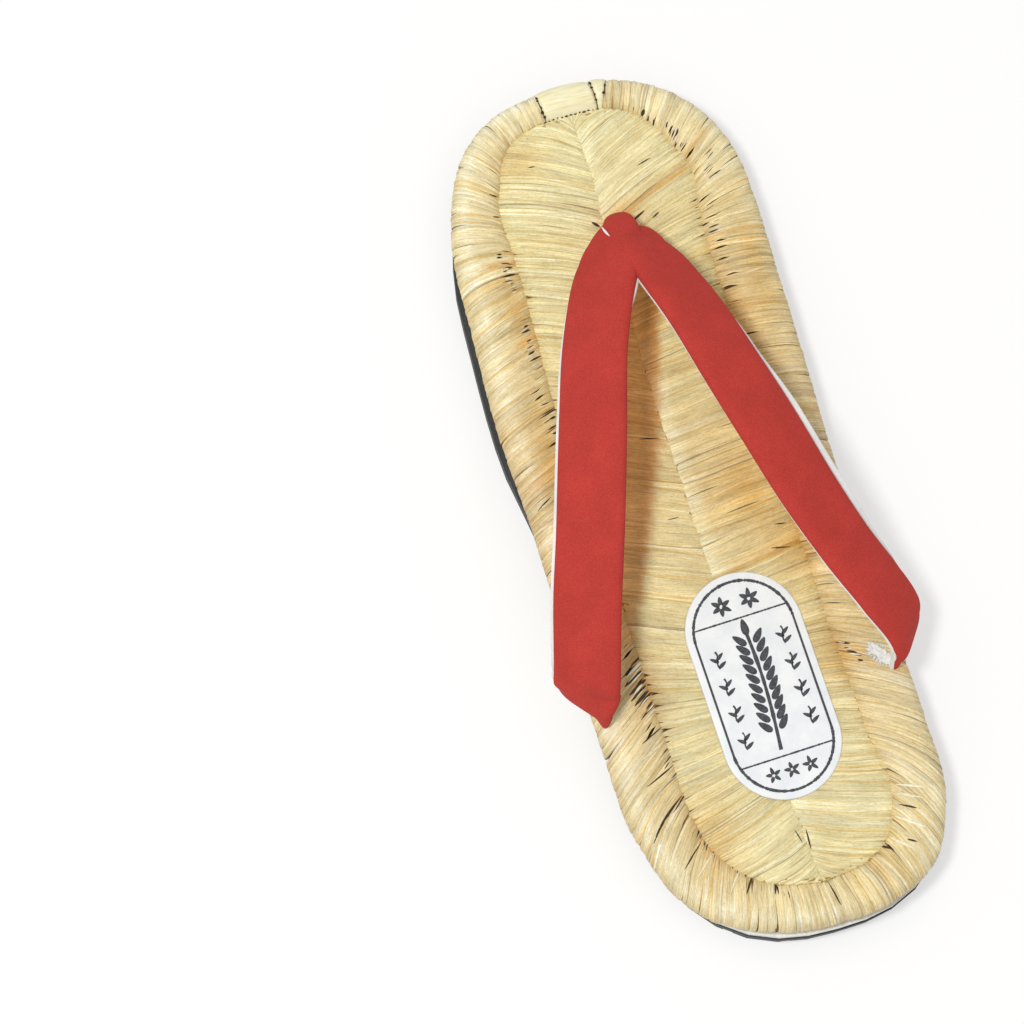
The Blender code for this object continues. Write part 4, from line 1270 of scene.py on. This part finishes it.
def tread(node, mat):
    """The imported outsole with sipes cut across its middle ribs."""
    obj = solid("tread_sole", welded(node), mat, False)
    bm = bmesh.new()
    for low, high, count, slope in ((-0.43, -0.22, 62, 0.9), (0.22, 0.43, 62, -0.9), (-0.12, 0.12, 46, 0.0)):
        for index in range(count):
            along = HALF_LENGTH * (-0.88 + 1.74 * (index + 0.5) / count)
            tilt = slope * (high - low) * HALF_WIDTH / 2 if slope else 1.4 * MM
            if index % 2 == 0:
                tilt = -tilt
            left, right = low * HALF_WIDTH, high * HALF_WIDTH
            thick = 0.55 * MM
            floor, roof = -2 * MM, float(lift(np.float64(along))) + 0.9 * MM
            corners = []
            for x, y in ((left, along - tilt), (right, along + tilt)):
                for dy in (-thick / 2, thick / 2):
                    for z in (floor, roof):
                        corners.append(bm.verts.new((x, y + dy, z)))
            for face in ((0, 1, 3, 2), (4, 6, 7, 5), (0, 2, 6, 4), (1, 5, 7, 3), (0, 4, 5, 1), (2, 3, 7, 6)):
                bm.faces.new([corners[i] for i in face])
    bmesh.ops.recalc_face_normals(bm, faces=bm.faces)
    cutter_mesh = bpy.data.meshes.new("sipes")
    bm.to_mesh(cutter_mesh)
    bm.free()
    cutter = link("sipes", cutter_mesh)
    modifier = obj.modifiers.new("sipes", "BOOLEAN")
    modifier.operation = "DIFFERENCE"
    modifier.solver = "EXACT"
    modifier.use_self = True
    modifier.object = cutter
    bpy.context.view_layer.update()
    graph = bpy.context.evaluated_depsgraph_get()
    made = bpy.data.meshes.new_from_object(obj.evaluated_get(graph))
    obj.modifiers.clear()
    obj.data = made
    made.name = "tread_sole"
    bpy.data.objects.remove(cutter)
    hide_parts("outsole")


def sole_stitches(mat):
    """White thread that shows under the sole, a little in from its edge."""
    bm = bmesh.new()
    for side in (1, -1):
        at = 9 * MM
        while at < TOTAL[side] - 6 * MM:
            x, y = inward_at(side, np.array([at, at + MM]), 7.2 * MM)
            turn = math.atan2(y[1] - y[0], x[1] - x[0])
            size = Matrix.Diagonal((1.3 * MM * rng.uniform(0.9, 1.5), 0.8 * MM, 0.5 * MM, 1))
            place = Matrix.Translation((x[0], y[0], lift(y)[0] + 0.42 * MM))
            matrix = place @ Matrix.Rotation(turn, 4, "Z") @ size
            bmesh.ops.create_icosphere(bm, subdivisions=2, radius=1.0, matrix=matrix)
            at += rng.uniform(13, 21) * MM
    solid("sole_thread", bm, mat)


# Camera, as fitted to the photograph: over the sandal, 10 degrees towards the heel and 7 to its left
CAMERA_DISTANCE = 1.2
CAMERA_HEELWARD = math.radians(10)
CAMERA_LEFTWARD = math.radians(7)
CAMERA_ROLL = math.radians(-16.63)
FOCAL_PX = 3926.0
PRINCIPAL = (686.0, 513.6)
IMAGE = 1024
SENSOR = 36.0


def camera():
    sx, sy = math.sin(CAMERA_LEFTWARD), math.sin(CAMERA_HEELWARD)
    back = Vector((-sx, -sy, math.sqrt(1 - sx * sx - sy * sy)))
    right = Vector((0, 1, 0)).cross(back).normalized()
    up = back.cross(right)
    turned = right * math.cos(CAMERA_ROLL) + up * math.sin(CAMERA_ROLL)
    up = up * math.cos(CAMERA_ROLL) - right * math.sin(CAMERA_ROLL)
    right = turned
    centre = back * CAMERA_DISTANCE
    # aimed through the image's middle, so that it needs no shift
    across, down = [(IMAGE / 2 - middle) / FOCAL_PX for middle in PRINCIPAL]
    ray = -back + right * across - up * down
    aim = -ray.normalized()
    off = math.acos(min(1.0, aim.dot(back)))
    right = (right - aim * right.dot(aim)).normalized()
    up = aim.cross(right)
    data = bpy.data.cameras.new("photo_camera")
    data.sensor_width = SENSOR
    data.lens = FOCAL_PX * math.cos(off) ** 1.5 * SENSOR / IMAGE
    data.clip_start = 0.05
    obj = link("photo_camera", data)
    rotation = Matrix((right, up, aim)).transposed().to_4x4()
    obj.matrix_world = Matrix.Translation(centre) @ rotation
    bpy.context.scene.camera = obj
    return right, up, aim


def studio(right, up, back):
    floor = new_mesh("floor", [(-3, -3, 0), (3, -3, 0), (3, 3, 0), (-3, 3, 0)], [(0, 1, 2, 3)])
    settings = (
        ("Base Color", (0.46, 0.46, 0.46, 1)),
        ("Emission Color", (1, 1, 1, 1)),
        ("Emission Strength", 0.50),
        ("Specular IOR Level", 0.0),
    )
    floor.materials.append(material("floor_white", 0.9, (), settings=settings))
    obj = link("floor", floor)
    obj.location.z = -0.0002
    world = bpy.data.worlds.new("studio")
    bpy.context.scene.world = world
    world.use_nodes = True
    world.node_tree.nodes["Background"].inputs["Color"].default_value = (1.0, 1.0, 1.0, 1)
    world.node_tree.nodes["Background"].inputs["Strength"].default_value = 0.62
    tilt = math.radians(15.5)
    sideways = (-right * 0.94 + up * 0.34).normalized()
    direction = sideways * math.sin(tilt) + back * math.cos(tilt)
    key = bpy.data.lights.new("key", "AREA")
    key.shape = "DISK"
    key.size = 0.22
    key.energy = 10.3
    key.color = (1.0, 0.985, 0.95)
    lamp = link("key", key)
    turned = direction.to_track_quat("Z", "Y").to_matrix().to_4x4()
    lamp.matrix_world = Matrix.Translation(direction * 1.4) @ turned
    bpy.context.scene.view_settings.view_transform = "Standard"


def main():
    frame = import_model()
    nodes = frame["nodes"]
    straw = straw_material()
    red = cloth_material("red_felt", RED, (0.36, 0.026, 0.020), (0.53, 0.070, 0.055), 2600.0)
    white = cloth_material("white_cotton", WHITE, (0.62, 0.62, 0.60), (0.88, 0.88, 0.88), 2200.0)
    other = other_materials()
    straw_core(nodes["straw_body"], other["core"])
    rim_strands(straw)
    lane_strands(straw)
    straps(red, white)
    label(other["paper"], other["ink"])
    placed_gaps(straw, other["gap"])
    toe_wrap(other["sheath"], other["gap"])
    frayed_lining(white)
    tread(nodes["outsole"], other["rubber"])
    nodes["midsole"].data.materials.clear()
    nodes["midsole"].data.materials.append(other["sponge"])
    sole_stitches(white)
    axes = camera()
    knob_thread(white, *axes)
    studio(*axes)


main()
